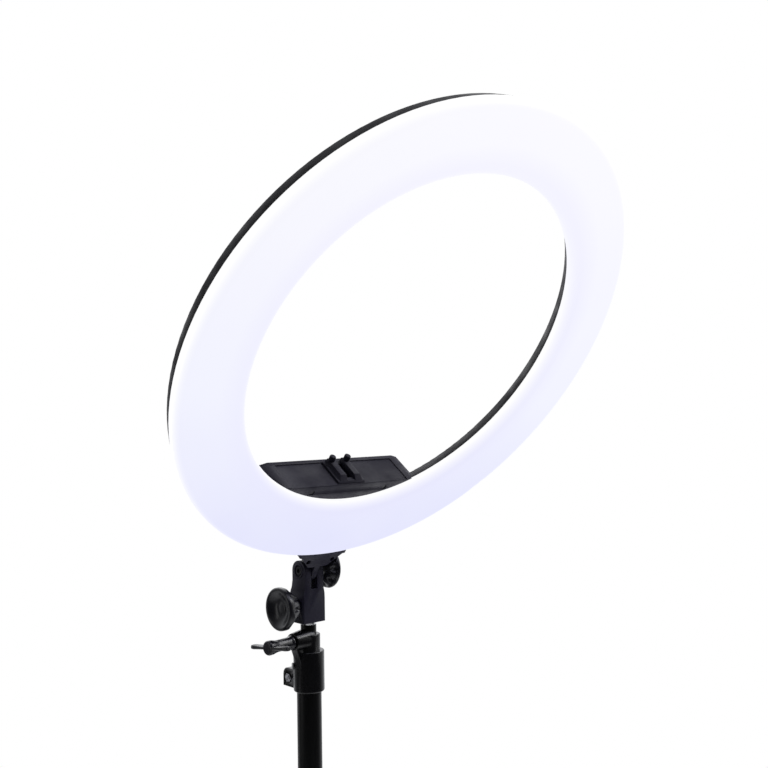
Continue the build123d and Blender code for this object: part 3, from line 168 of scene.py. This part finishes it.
# ------------------------------------------------------------------ the materials
# noise scales are blotches per metre, grain and pore depths are metres
FLOW_SCALE = (18, 18, 6)
SMEAR_SCALE = 35.0
DUST_SCALE = 700.0
DUST_COVER = 0.12
GLOSS_SPREAD = 0.25
STAIN_SCALE = 45.0
SCRATCH_SPACING = 9.0
SCRATCH_WANDER = 28.0
LINE_DEPTH = 0.00002
PORE_SCALE = 2200.0
PORE_DEPTH = 0.00012
SCUFF_SCALE = 120.0
PHOSPHOR_SCALE = 1500.0
TRACE_CELLS = 260.0
FINE_DEPTH = 0.00003
WINDOW_HAZE_SCALE = 60.0


def moulded(name, colour, roughness, grain=1400.0, grain_depth=0.00006, specular=0.5, coat=0.0):
    """Moulded plastic: spark-eroded grain, faint flow marks, dust and uneven gloss."""
    material, tree, shader = new_material(name)
    vector = object_coords(tree)
    flow = noise_field(tree, object_coords(tree, FLOW_SCALE), 1.0, 4.0)
    fine = noise_field(tree, vector, grain, 2.0, 0.65)
    smear = noise_field(tree, vector, SMEAR_SCALE, 5.0, 0.6)
    specks = noise_field(tree, vector, DUST_SCALE, 6.0, 0.75)
    dust = remap(tree, specks, 0.7, 0.82, 0.0, DUST_COVER)
    flow_mark = remap(tree, flow, 0.35, 0.65, 0.0, 1.0)
    base = mix_colour(tree, flow_mark, tinted(colour, 0.85), tinted(colour, 1.25, 0.002))
    tree.links.new(mix_colour(tree, dust, base, tinted(colour, 0.6, 0.1)), shader.inputs["Base Color"])
    smooth = roughness * (1 - GLOSS_SPREAD)
    rough = min(1.0, roughness * (1 + GLOSS_SPREAD))
    tree.links.new(remap(tree, smear, 0.3, 0.7, smooth, rough), shader.inputs["Roughness"])
    shader.inputs["Specular IOR Level"].default_value = specular
    shader.inputs["Coat Weight"].default_value = coat
    shader.inputs["Coat Roughness"].default_value = 0.18
    bump(tree, shader, fine, grain_depth, 0.5)
    return material


def metal(name, colour, roughness, grain_scale=(60, 60, 900), scratch=0.3, metallic=1.0, specular=0.5):
    """Drawn or turned metal: fine lines along the working direction, scratches and stains."""
    material, tree, shader = new_material(name)
    lines = noise_field(tree, object_coords(tree, grain_scale), 1.0, 6.0, 0.7)
    vector = object_coords(tree)
    stain = noise_field(tree, vector, STAIN_SCALE, 5.0, 0.6)
    scratches = add_node(
        tree, "ShaderNodeTexWave", Scale=SCRATCH_SPACING, Distortion=SCRATCH_WANDER, Detail=3.0
    )
    tree.links.new(vector, scratches.inputs["Vector"])
    mark = remap(tree, scratches.outputs["Fac"], 0.97, 1.0, 0.0, scratch)
    base = mix_colour(tree, remap(tree, stain, 0.3, 0.7, 0.0, 1.0), tinted(colour, 0.85), colour)
    tree.links.new(mix_colour(tree, mark, base, tinted(colour, 1.3, 0.02)), shader.inputs["Base Color"])
    shader.inputs["Metallic"].default_value = metallic
    shader.inputs["Specular IOR Level"].default_value = specular
    gloss = remap(tree, lines, 0.3, 0.7, roughness * 0.75, min(1.0, roughness * 1.3))
    tree.links.new(gloss, shader.inputs["Roughness"])
    shader.inputs["Anisotropic"].default_value = 0.4
    bump(tree, shader, lines, LINE_DEPTH, 0.35)
    return material


def rubber(name, colour):
    """Matt rubber: open pores and scuffs that have gone grey."""
    material, tree, shader = new_material(name)
    vector = object_coords(tree)
    pores = noise_field(tree, vector, PORE_SCALE, 3.0, 0.7)
    scuff = remap(tree, noise_field(tree, vector, SCUFF_SCALE, 6.0, 0.7), 0.5, 0.75, 0.0, 0.5)
    tree.links.new(mix_colour(tree, scuff, colour, tinted(colour, 1.0, 0.09)), shader.inputs["Base Color"])
    tree.links.new(remap(tree, pores, 0.3, 0.7, 0.7, 0.95), shader.inputs["Roughness"])
    shader.inputs["Specular IOR Level"].default_value = 0.3
    bump(tree, shader, pores, PORE_DEPTH, 0.6)
    return material


def lamp(name, colour, strength):
    """A lit lamp: phosphor with a pale package around it."""
    material, tree, shader = new_material(name)
    grain = noise_field(tree, object_coords(tree), PHOSPHOR_SCALE, 3.0)
    base = mix_colour(tree, grain, colour, tinted(colour, 1.2))
    tree.links.new(base, shader.inputs["Base Color"])
    tree.links.new(base, shader.inputs["Emission Color"])
    shader.inputs["Emission Strength"].default_value = strength
    shader.inputs["Roughness"].default_value = 0.4
    return material


def circuit_board(name):
    """White solder mask over raised copper traces."""
    material, tree, shader = new_material(name)
    cells = add_node(tree, "ShaderNodeTexVoronoi", Scale=TRACE_CELLS, feature="DISTANCE_TO_EDGE")
    tree.links.new(object_coords(tree), cells.inputs["Vector"])
    trace = remap(tree, cells.outputs["Distance"], 0.02, 0.06, 1.0, 0.0)
    mask = mix_colour(tree, trace, (0.78, 0.8, 0.77), (0.66, 0.69, 0.65))
    tree.links.new(mask, shader.inputs["Base Color"])
    shader.inputs["Roughness"].default_value = 0.38
    bump(tree, shader, trace, FINE_DEPTH, 0.5)
    return material


def smoked_window(name):
    """Polished smoked acrylic with a little haze."""
    material, tree, shader = new_material(name)
    haze = noise_field(tree, object_coords(tree), WINDOW_HAZE_SCALE, 5.0, 0.6)
    smoke = mix_colour(tree, haze, (0.012, 0.012, 0.015), (0.02, 0.02, 0.024))
    tree.links.new(smoke, shader.inputs["Base Color"])
    tree.links.new(remap(tree, haze, 0.3, 0.7, 0.05, 0.12), shader.inputs["Roughness"])
    shader.inputs["Coat Weight"].default_value = 0.6
    return material


# the lit face's colour from the ring's top to its foot
FACE_STOPS = (
    (0.0, (0.95, 0.945, 0.99)),
    (0.3, (0.91, 0.91, 0.985)),
    (0.6, (0.865, 0.875, 0.985)),
    (0.8, (0.805, 0.815, 0.975)),
    (1.0, (0.745, 0.755, 0.965)),
)
CLOUD_COLOUR = (0.97, 0.97, 1.0)
CLOUD_SCALE = 9.0
CLOUD_COVER = 0.12
INNER_EDGE_COLOUR = (0.80, 0.79, 0.985)
INNER_EDGE_COVER = 0.45
# the inner edge's tint fades out between these shares of the ring's radius
INNER_EDGE_FADE = (0.73, 0.85)
# the rounded rim glows, with painted light over its glow: a painted highlight makes it white on the upper left,
# and painted shade makes it fall off on the lower right
RIM_PAINTED_LIGHT_SIDE = (RING_UP * 0.75 - X_AXIS * 0.65).normalized()
RIM_PAINTED_SHADE_COLOUR = (0.80, 0.80, 0.955)
RIM_PAINTED_HIGHLIGHT_COLOUR = (1.0, 1.0, 1.0)
OPAL_GRAIN = 2500.0
# the camera sees the face just short of white; its reflection in glossy parts is this much brighter
REFLECTED_GLOW = 2.0


def face_ramp(tree, slope):
    """The lit face's colours, spread along a value from 0 to 1."""
    curve = tree.nodes.new("ShaderNodeValToRGB")
    tree.links.new(slope, curve.inputs["Fac"])
    ramp = curve.color_ramp
    while len(ramp.elements) < len(FACE_STOPS):
        ramp.elements.new(0.5)
    for element, (position, colour) in zip(ramp.elements, FACE_STOPS):
        element.position = position
        element.color = (*colour, 1)
    return curve.outputs["Color"]


def opal_diffuser(name):
    """Lit opal acrylic: cooler and dimmer towards the ring's foot; its glowing rounded rim carries a painted
    highlight on the upper left and painted shade on the lower right.
    """
    material, tree, shader = new_material(name)
    coords = tree.nodes.new("ShaderNodeTexCoord")
    from_centre = add_node(tree, "ShaderNodeVectorMath", operation="SUBTRACT")
    tree.links.new(coords.outputs["Object"], from_centre.inputs[0])
    from_centre.inputs[1].default_value = RING_CENTRE
    place = from_centre.outputs["Vector"]
    normal = tree.nodes.new("ShaderNodeNewGeometry").outputs["Normal"]

    slope = remap(tree, along(tree, place, -RING_UP), -RING_R, RING_R, 0.0, 1.0)
    cloud = noise_field(tree, object_coords(tree), CLOUD_SCALE, 3.0, 0.5)
    haze = remap(tree, cloud, 0.35, 0.65, 0.0, CLOUD_COVER)
    clouded = mix_colour(tree, haze, face_ramp(tree, slope), CLOUD_COLOUR)
    fade_start, fade_end = (share * RING_R for share in INNER_EDGE_FADE)
    inner_edge = remap(tree, length_of(tree, place), fade_start, fade_end, INNER_EDGE_COVER, 0.0)
    face = mix_colour(tree, inner_edge, clouded, INNER_EDGE_COLOUR)

    # painted highlight on the rim where it faces up and left, painted shade where it faces down and right
    painted_rim_light = remap(tree, along(tree, normal, RIM_PAINTED_LIGHT_SIDE), -0.9, 0.6, 0.0, 1.0)
    rim = mix_colour(tree, painted_rim_light, RIM_PAINTED_SHADE_COLOUR, RIM_PAINTED_HIGHLIGHT_COLOUR)
    on_rim = remap(tree, along(tree, normal, RING_FRONT), 0.2, 0.93, 1.0, 0.0)
    tree.links.new(mix_colour(tree, on_rim, face, rim), shader.inputs["Emission Color"])

    path = tree.nodes.new("ShaderNodeLightPath")
    glow = remap(tree, path.outputs["Is Glossy Ray"], 0.0, 1.0, 1.0, REFLECTED_GLOW)
    tree.links.new(glow, shader.inputs["Emission Strength"])
    shader.inputs["Base Color"].default_value = (0.02, 0.02, 0.022, 1)
    shader.inputs["Specular IOR Level"].default_value = 0.15
    grain = noise_field(tree, object_coords(tree), OPAL_GRAIN, 2.0, 0.6)
    tree.links.new(remap(tree, grain, 0.3, 0.7, 0.5, 0.6), shader.inputs["Roughness"])
    bump(tree, shader, grain, FINE_DEPTH, 0.3)
    return material


POLISHED_GRAIN = 0.00002
TURNED_LINES = (900, 900, 60)
DRAWN_LINES = (700, 700, 14)
OXIDE_GRAIN = (300, 300, 300)

MATERIALS = {
    "opal_diffuser": opal_diffuser("opal_acrylic"),
    "shell_plastic": moulded(
        "shell_plastic", (0.012, 0.011, 0.016), 0.6, grain_depth=POLISHED_GRAIN, specular=0.2
    ),
    "housing_plastic": moulded(
        "housing_plastic", (0.018, 0.0165, 0.030), 0.58, grain=1700.0, specular=0.16
    ),
    "circuit_board": circuit_board("white_board"),
    "warm_led": lamp("warm_phosphor", (0.95, 0.62, 0.2), 1.5),
    "cool_led": lamp("cool_phosphor", (0.9, 0.9, 0.6), 2.0),
    "smoked_window": smoked_window("smoked_window"),
    "component_plastic": moulded("component_plastic", (0.03, 0.03, 0.035), 0.45),
    "steel_hardware": metal("zinc_steel", (0.62, 0.62, 0.66), 0.28),
    "black_screw": metal("black_oxide", (0.03, 0.03, 0.034), 0.38, OXIDE_GRAIN, 0.15, 0.8),
    "control_plastic": moulded("control_plastic", (0.01, 0.01, 0.012), 0.4),
    "cable_jacket": rubber("cable_jacket", (0.01, 0.01, 0.01)),
    "bracket_plastic": moulded(
        "bracket_plastic", (0.019, 0.0175, 0.036), 0.5, grain=1100.0, specular=0.3
    ),
    "knob_plastic": moulded(
        "knob_plastic", (0.006, 0.006, 0.0115), 0.32, grain=900.0, grain_depth=POLISHED_GRAIN, coat=0.15
    ),
    "bright_steel": metal("bright_steel", (0.9, 0.9, 0.92), 0.16, TURNED_LINES, 0.1),
    "black_tube": metal("black_anodised", (0.0015, 0.0015, 0.002), 0.34, DRAWN_LINES, 0.02, 0.0, 0.3),
    "collar_plastic": moulded(
        "collar_plastic", (0.002, 0.002, 0.003), 0.24, grain=1000.0, grain_depth=POLISHED_GRAIN, specular=0.45
    ),
    "glide_nylon": moulded("glide_nylon", (0.75, 0.75, 0.72), 0.4),
    "foot_rubber": rubber("foot_rubber", (0.012, 0.012, 0.013)),
}


# ------------------------------------------------------------------ the carried-over CAD nodes
# how much each node's edges are rounded, in millimetres
SOFT_EDGES = {
    node: width
    for width, nodes in {
        0.2: "rocker_frame dc_socket display_window tilt_bolt leg_1 leg_2 leg_3 spigot",
        0.25: "upper_collar_bolt lower_collar_bolt",
        0.3: "back_shell power_rocker brace_1 brace_2 brace_3",
        0.4: "column_plug",
        0.5: "control_housing rear_panel upper_collar lower_collar leg_hub brace_hub leg_hub_knob",
        0.6: "head_bracket foot_1 foot_2 foot_3",
        0.7: "yoke",
    }.items()
    for node in nodes.split()
}
WELD_DISTANCE = 0.000002
FLAT_ANGLE = math.radians(0.4)
EDGE_ANGLE = math.radians(38)


def soften(obj, width):
    """Rounds a CAD node's sharp edges so that they catch the light."""
    weld = obj.modifiers.new("weld", "WELD")
    weld.merge_threshold = WELD_DISTANCE
    merge = obj.modifiers.new("merge_flats", "DECIMATE")
    merge.decimate_type = "DISSOLVE"
    merge.angle_limit = FLAT_ANGLE
    bevel = obj.modifiers.new("edge_radius", "BEVEL")
    bevel.width = width * MM
    bevel.segments = 2
    bevel.limit_method = "ANGLE"
    bevel.angle_limit = EDGE_ANGLE
    bevel.use_clamp_overlap = True
    bevel.harden_normals = True
    obj.data.shade_smooth()


def dress_cad_nodes():
    """Gives every carried-over CAD node its material, and the nodes listed in SOFT_EDGES a small softened edge."""
    for name, obj in frame["nodes"].items():
        obj.data.materials.clear()
        obj.data.materials.append(MATERIALS[SLOTS[name]])
        if name in SOFT_EDGES:
            soften(obj, SOFT_EDGES[name])


# ------------------------------------------------------------------ mesh helpers
ON_AXIS = 1e-6
WELD_VERTS = 1e-7


def finish_mesh(name, mesh_data, slot, body, node, smooth_angle):
    """Turns a bmesh into a piece: shading, material, body and the CAD node it stands for."""
    bmesh.ops.remove_doubles(mesh_data, verts=mesh_data.verts, dist=WELD_VERTS)
    bmesh.ops.recalc_face_normals(mesh_data, faces=mesh_data.faces)
    mesh = bpy.data.meshes.new(name)
    mesh_data.to_mesh(mesh)
    mesh_data.free()
    obj = bpy.data.objects.new(name, mesh)
    bpy.context.scene.collection.objects.link(obj)
    mesh.materials.append(MATERIALS[slot])
    mesh.shade_smooth()
    if smooth_angle:
        mesh.set_sharp_from_angle(angle=math.radians(smooth_angle))
    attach(obj, body)
    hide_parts(node)
    return obj


def axis_frame(origin, axis, side):
    """A matrix whose Z is an axis and whose X lies as near as possible to side."""
    z = Vector(axis).normalized()
    x = (side - z * side.dot(z)).normalized()
    y = z.cross(x)
    matrix = Matrix((x, y, z)).transposed().to_4x4()
    matrix.translation = Vector(origin)
    return matrix


def lathe(mesh_data, profile, matrix, steps, shape):
    """Turns a (radius, height) profile in mm about the matrix's Z.

    shape(angle, radius, height) gives the radius at an angle, for scallops and ribs."""
    rings = []
    for radius, height in profile:
        if radius < ON_AXIS:
            rings.append([mesh_data.verts.new(matrix @ Vector((0, 0, height * MM)))])
            continue
        ring = []
        for step in range(steps):
            angle = 2 * math.pi * step / steps
            r = shape(angle, radius, height)
            point = Vector((r * math.cos(angle) * MM, r * math.sin(angle) * MM, height * MM))
            ring.append(mesh_data.verts.new(matrix @ point))
        rings.append(ring)
    for first, second in zip(rings, rings[1:]):
        for step in range(steps):
            after = (step + 1) % steps
            if len(first) == 1:
                mesh_data.faces.new((first[0], second[step], second[after]))
            elif len(second) == 1:
                mesh_data.faces.new((first[step], second[0], first[after]))
            else:
                mesh_data.faces.new((first[step], second[step], second[after], first[after]))


def arc(centre, radius, start, end, steps):
    """Points along an arc in a profile, in degrees."""
    points = []
    for step in range(steps + 1):
        angle = math.radians(start + (end - start) * step / steps)
        points.append((centre[0] + radius * math.cos(angle), centre[1] + radius * math.sin(angle)))
    return points


def ramp_up(value, start, length):
    """0 before start, 1 beyond start + length, and a straight line between."""
    return min(1.0, max(0.0, (value - start) / length))


# ------------------------------------------------------------------ the two dished clamp knobs
KNOB_STEPS = 192
KNOB_SHARP = 50.0
# the hub's foot, from the axis outwards, as (radius, height)
NECK = [(0.0, 0.0), (7.8, 0.0), (8.5, 0.7), (8.5, 2.6), (9.3, 3.6), (12.2, 4.3), (13.6, 5.2)]
FLARE_STEPS = 10
FLARE_BULGE = 0.8
RIM_BACK_ROUND = 2.2
RIM_FRONT_ROUND = 2.3
DISH_STEPS = 12
DISH_LIP = 3.2
DISH_DEPTH = 5.6
DISH_INNER_R = 7.0
DISH_CURVE = 1.15
# the raised centre, as (radius, depth below the knob's end)
BUTTON = [(6.2, 5.9), (5.6, 5.3), (4.6, 5.0), (0.0, 4.9)]
GRIP_COUNT = 8
GRIP_DEPTH = 3.6
GRIP_SHARPNESS = 2.2
GRIP_START = 4.0
GRIP_FADE = 4.0
GRIP_FULL_R = 14.0


def scalloped(high):
    """A knob's side with rounded grip hollows that fade out at both heights."""

    def shape(angle, radius, height):
        hollow = (0.5 + 0.5 * math.cos(GRIP_COUNT * angle)) ** GRIP_SHARPNESS
        rise = ramp_up(height, GRIP_START, GRIP_FADE) * ramp_up(-height, -high, GRIP_FADE)
        fade = rise * rise * (3 - 2 * rise)
        return radius - GRIP_DEPTH * hollow * fade * min(1.0, radius / GRIP_FULL_R)

    return shape


def dished_knob(name, node, body, axis, rim_start):
    """A clamp knob: a dished face with a raised centre and a rounded rim, and a scalloped neck."""
    low, high = span(node, axis)
    length = (high - low) / MM
    corner_low, corner_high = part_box(node)
    centre = (corner_low + corner_high) / 2
    radius = (corner_high.z - corner_low.z) / 2 / MM
    origin = centre + axis * (low - centre.dot(axis))

    profile = list(NECK)
    flare_r, flare_z = NECK[-1]
    for step in range(1, FLARE_STEPS + 1):
        t = step / FLARE_STEPS
        r = flare_r + (radius - RIM_BACK_ROUND - flare_r) * (t ** FLARE_BULGE)
        profile.append((r, flare_z + (rim_start - flare_z) * t))
    profile += arc((radius - RIM_BACK_ROUND, rim_start + 2.4), RIM_BACK_ROUND, -60, 0, 6)
    profile += [(radius, length - 3.2)]
    profile += arc((radius - RIM_FRONT_ROUND, length - RIM_FRONT_ROUND), RIM_FRONT_ROUND, 10, 100, 9)
    dish_r = radius - DISH_LIP
    for step in range(1, DISH_STEPS + 1):
        t = step / DISH_STEPS
        sunk = DISH_DEPTH * math.sin(t * math.pi / 2) ** DISH_CURVE
        profile.append((dish_r + (DISH_INNER_R - dish_r) * t, length - 0.35 - sunk))
    profile += [(r, length - depth) for r, depth in BUTTON]

    mesh_data = bmesh.new()
    lathe(mesh_data, profile, axis_frame(origin, axis, Z_AXIS), KNOB_STEPS, scalloped(rim_start + 3.0))
    finish_mesh(name, mesh_data, "knob_plastic", body, node, KNOB_SHARP)


# ------------------------------------------------------------------ the two wing knobs
HUB_STEPS = 120
HUB_END_GAP = 0.8
RIB_COUNT = 10
RIB_DEPTH = 0.4
RIB_FADE = 2.0
BLADE_SECTIONS = 14
BLADE_STEPS = 36
BLADE_SQUARENESS = 3.2
BLADE_TWIST = math.radians(6.0)
BLADE_BELOW_END = 6.2
BLADE_TIP_GAP = 0.4
BLADE_TIP_SHRINK = 0.82
VOXEL_SIZE = 0.45 * MM
ROUNDING_STEPS = 5


def voxel_union(obj):
    """Welds an object's overlapping shells into one skin and rounds the joins."""
    remesh = obj.modifiers.new("union", "REMESH")
    remesh.mode = "VOXEL"
    remesh.voxel_size = VOXEL_SIZE
    remesh.use_smooth_shade = True
    smooth = obj.modifiers.new("round", "SMOOTH")
    smooth.factor = 0.5
    smooth.iterations = ROUNDING_STEPS
    depsgraph = bpy.context.evaluated_depsgraph_get()
    baked = bpy.data.meshes.new_from_object(obj.evaluated_get(depsgraph))
    obj.modifiers.clear()
    obj.data = baked
    obj.data.shade_smooth()


def blade_sections(half_span, height):
    """The bar through both blades, as (x, y, z, half width, half height) from tip to tip."""
    sections = []
    for step in range(BLADE_SECTIONS + 1):
        t = -1 + 2 * step / BLADE_SECTIONS
        reach = abs(t)
        tip = 1.0 if reach < 0.99 else BLADE_TIP_SHRINK
        half_width = (1.7 + 0.9 * reach ** 2) * tip
        half_height = (4.6 + 0.9 * math.cos(reach * 3.0)) * tip
        sections.append((t * half_span, 0.0, height + 0.6 * reach, half_width, half_height))
    return sections


def superellipse_sweep(mesh_data, matrix, sections, steps, power):
    """A closed bar swept along the matrix's X through sections (x, y, z, half width, half height)."""
    rings = []
    for x, y, z, half_w, half_h in sections:
        ring = []
        for step in range(steps):
            angle = 2 * math.pi * step / steps
            c, s = math.cos(angle), math.sin(angle)
            u = math.copysign(abs(c) ** (2 / power), c) * half_w
            v = math.copysign(abs(s) ** (2 / power), s) * half_h
            ring.append(mesh_data.verts.new(matrix @ (Vector((x, y + u, z + v)) * MM)))
        rings.append(ring)
    for first, second in zip(rings, rings[1:]):
        for step in range(steps):
            after = (step + 1) % steps
            mesh_data.faces.new((first[step], first[after], second[after], second[step]))
    mesh_data.faces.new(list(reversed(rings[0])))
    mesh_data.faces.new(rings[-1])


def wing_knob(name, node, body, joint):
    """A T-shaped wing knob: a ribbed hub, and two blades that thicken towards their tips."""
    axis = Vector(JOINTS[joint]["axis"]).normalized()
    centre = Vector(JOINTS[joint]["pos_m"])
    low, high = span(node, axis)
    start = (low - centre.dot(axis)) / MM
    end = (high - centre.dot(axis)) / MM
    across = axis.cross(Z_AXIS).normalized()
    low_tip, high_tip = span(node, across)
    half_span = (high_tip - low_tip) / 2 / MM - BLADE_TIP_GAP
    matrix = axis_frame(centre, axis, across)

    hub_end = end - HUB_END_GAP
    hub = [(0.0, start), (6.4, start), (7.0, start + 0.7), (6.9, start + 2.4), (6.1, start + 4.0)]
    hub += [(6.0, hub_end - 12), (6.4, hub_end - 9), (7.1, hub_end - 6), (7.2, hub_end - 1.8)]
    hub += [(6.6, hub_end - 0.5), (5.4, hub_end), (0.0, hub_end + 0.2)]

    def ribs(angle, radius, height):
        rise = ramp_up(height, start + 4, RIB_FADE) * ramp_up(-height, 11 - end, RIB_FADE)
        return radius - RIB_DEPTH * rise * (0.5 + 0.5 * math.cos(RIB_COUNT * angle))

    mesh_data = bmesh.new()
    lathe(mesh_data, hub, matrix, HUB_STEPS, ribs)
    twisted = matrix @ Matrix.Rotation(BLADE_TWIST, 4, "Z")
    sections = blade_sections(half_span, end - BLADE_BELOW_END)
    superellipse_sweep(mesh_data, twisted, sections, BLADE_STEPS, BLADE_SQUARENESS)
    voxel_union(finish_mesh(name, mesh_data, "knob_plastic", body, node, 0))


dress_cad_nodes()
dished_knob("clamp_knob_moulded", "clamp_knob", "fork_clamp", -X_AXIS, 15.0)
dished_knob("tilt_knob_moulded", "tilt_knob", "tilt_clamp", X_AXIS, 9.5)
wing_knob("upper_wing_knob_moulded", "upper_wing_knob", "upper_clamp", "upper_clamp_turn")
wing_knob("lower_wing_knob_moulded", "lower_wing_knob", "lower_clamp", "lower_clamp_turn")


# ------------------------------------------------------------------ stage, light and camera
# the camera stands to the light's front left, about level with the ring
CAMERA_AZIMUTH = math.radians(-42.08)
CAMERA_PITCH = math.radians(1.133)
CAMERA_ROLL = math.radians(-0.78)
CAMERA_OFFSET = Vector((-0.6372, -0.6512, -0.0418))
CAMERA_LENS = 47.67
CAMERA_SENSOR = 36.0

FLOOR_R = 1.6
FLOOR_DROP = 0.0005
FLOOR_FADE = (0.7, 1.5)
FLOOR_SPECKLE = 40.0

# the unseen studio is dark behind the camera and bright ahead of it
WALL_TILT = 0.35
WALL_LIGHT = (0.05, 1.1)

# lights aim at the top of the stand: (name, offset, (width, height), watts)
STAND_HEAD = Vector((0, 0, RING_CENTRE.z - 0.22))
SOFT_BOXES = (
    ("key", (1.1, -0.8, 1.5), (0.9, 0.9), 20),
    ("side", (-1.7, 0.7, 0.1), (0.5, 1.6), 3),
    ("fill", (1.5, -1.3, 0.5), (0.7, 1.5), 4),
    ("back", (0.7, 1.7, 1.0), (1.4, 1.0), 6),
)


def stage_material():
    """White floor that fades into the background away from the object."""
    material = bpy.data.materials.new("pale_floor")
    tree = empty_tree(material)
    output = tree.nodes.new("ShaderNodeOutputMaterial")
    shader = add_node(tree, "ShaderNodeBsdfDiffuse", Roughness=0.6)
    clear = tree.nodes.new("ShaderNodeBsdfTransparent")
    mixer = tree.nodes.new("ShaderNodeMixShader")
    coords = tree.nodes.new("ShaderNodeTexCoord")
    speckle = noise_field(tree, object_coords(tree), FLOOR_SPECKLE, 4.0)
    paint = mix_colour(tree, speckle, (0.9, 0.9, 0.91), (0.93, 0.93, 0.94))
    tree.links.new(paint, shader.inputs["Color"])
    fade = remap(tree, length_of(tree, coords.outputs["Object"]), *FLOOR_FADE, 0.0, 1.0)
    tree.links.new(fade, mixer.inputs["Fac"])
    tree.links.new(shader.outputs["BSDF"], mixer.inputs[1])
    tree.links.new(clear.outputs["BSDF"], mixer.inputs[2])
    tree.links.new(mixer.outputs["Shader"], output.inputs["Surface"])
    return material


def build_stage():
    mesh_data = bmesh.new()
    bmesh.ops.create_circle(mesh_data, cap_ends=True, radius=FLOOR_R, segments=96)
    mesh = bpy.data.meshes.new("floor")
    mesh_data.to_mesh(mesh)
    mesh_data.free()
    mesh.materials.append(stage_material())
    floor = bpy.data.objects.new("floor", mesh)
    floor.location.z = -FLOOR_DROP
    bpy.context.scene.collection.objects.link(floor)


def build_world():
    """A white surround for the camera; the object is lit by the white wall behind it."""
    world = bpy.data.worlds.new("white_studio")
    bpy.context.scene.world = world
    tree = empty_tree(world)
    output = tree.nodes.new("ShaderNodeOutputWorld")
    seen = add_node(tree, "ShaderNodeBackground", Color=(1, 1, 1, 1), Strength=1.0)
    light = add_node(tree, "ShaderNodeBackground", Color=(0.96, 0.97, 1.0, 1))
    coords = tree.nodes.new("ShaderNodeTexCoord")
    wall = Vector((-CAMERA_OFFSET.x, -CAMERA_OFFSET.y, WALL_TILT)).normalized()
    ahead = along(tree, coords.outputs["Generated"], wall)
    tree.links.new(remap(tree, ahead, 0.0, 0.75, *WALL_LIGHT), light.inputs["Strength"])
    mixer = tree.nodes.new("ShaderNodeMixShader")
    path = tree.nodes.new("ShaderNodeLightPath")
    tree.links.new(path.outputs["Is Camera Ray"], mixer.inputs["Fac"])
    tree.links.new(light.outputs["Background"], mixer.inputs[1])
    tree.links.new(seen.outputs["Background"], mixer.inputs[2])
    tree.links.new(mixer.outputs["Shader"], output.inputs["Surface"])


def soft_box(name, offset, size, watts):
    data = bpy.data.lights.new(name, "AREA")
    data.shape = "RECTANGLE"
    data.size, data.size_y = size
    data.energy = watts
    light = bpy.data.objects.new(name, data)
    light.location = STAND_HEAD + Vector(offset)
    light.rotation_euler = (-Vector(offset)).to_track_quat("-Z", "Y").to_euler()
    bpy.context.scene.collection.objects.link(light)


def build_camera():
    data = bpy.data.cameras.new("camera")
    data.lens = CAMERA_LENS
    data.sensor_width = CAMERA_SENSOR
    camera = bpy.data.objects.new("camera", data)
    level = Matrix.Rotation(CAMERA_AZIMUTH, 4, "Z") @ Matrix.Rotation(math.radians(90), 4, "X")
    aim = Matrix.Rotation(CAMERA_PITCH, 4, "X") @ Matrix.Rotation(CAMERA_ROLL, 4, "Z")
    camera.matrix_world = Matrix.Translation(RING_CENTRE + CAMERA_OFFSET) @ level @ aim
    bpy.context.scene.collection.objects.link(camera)
    bpy.context.scene.camera = camera


build_stage()
build_world()
for box in SOFT_BOXES:
    soft_box(*box)
build_camera()
bpy.context.scene.view_settings.view_transform = "Standard"
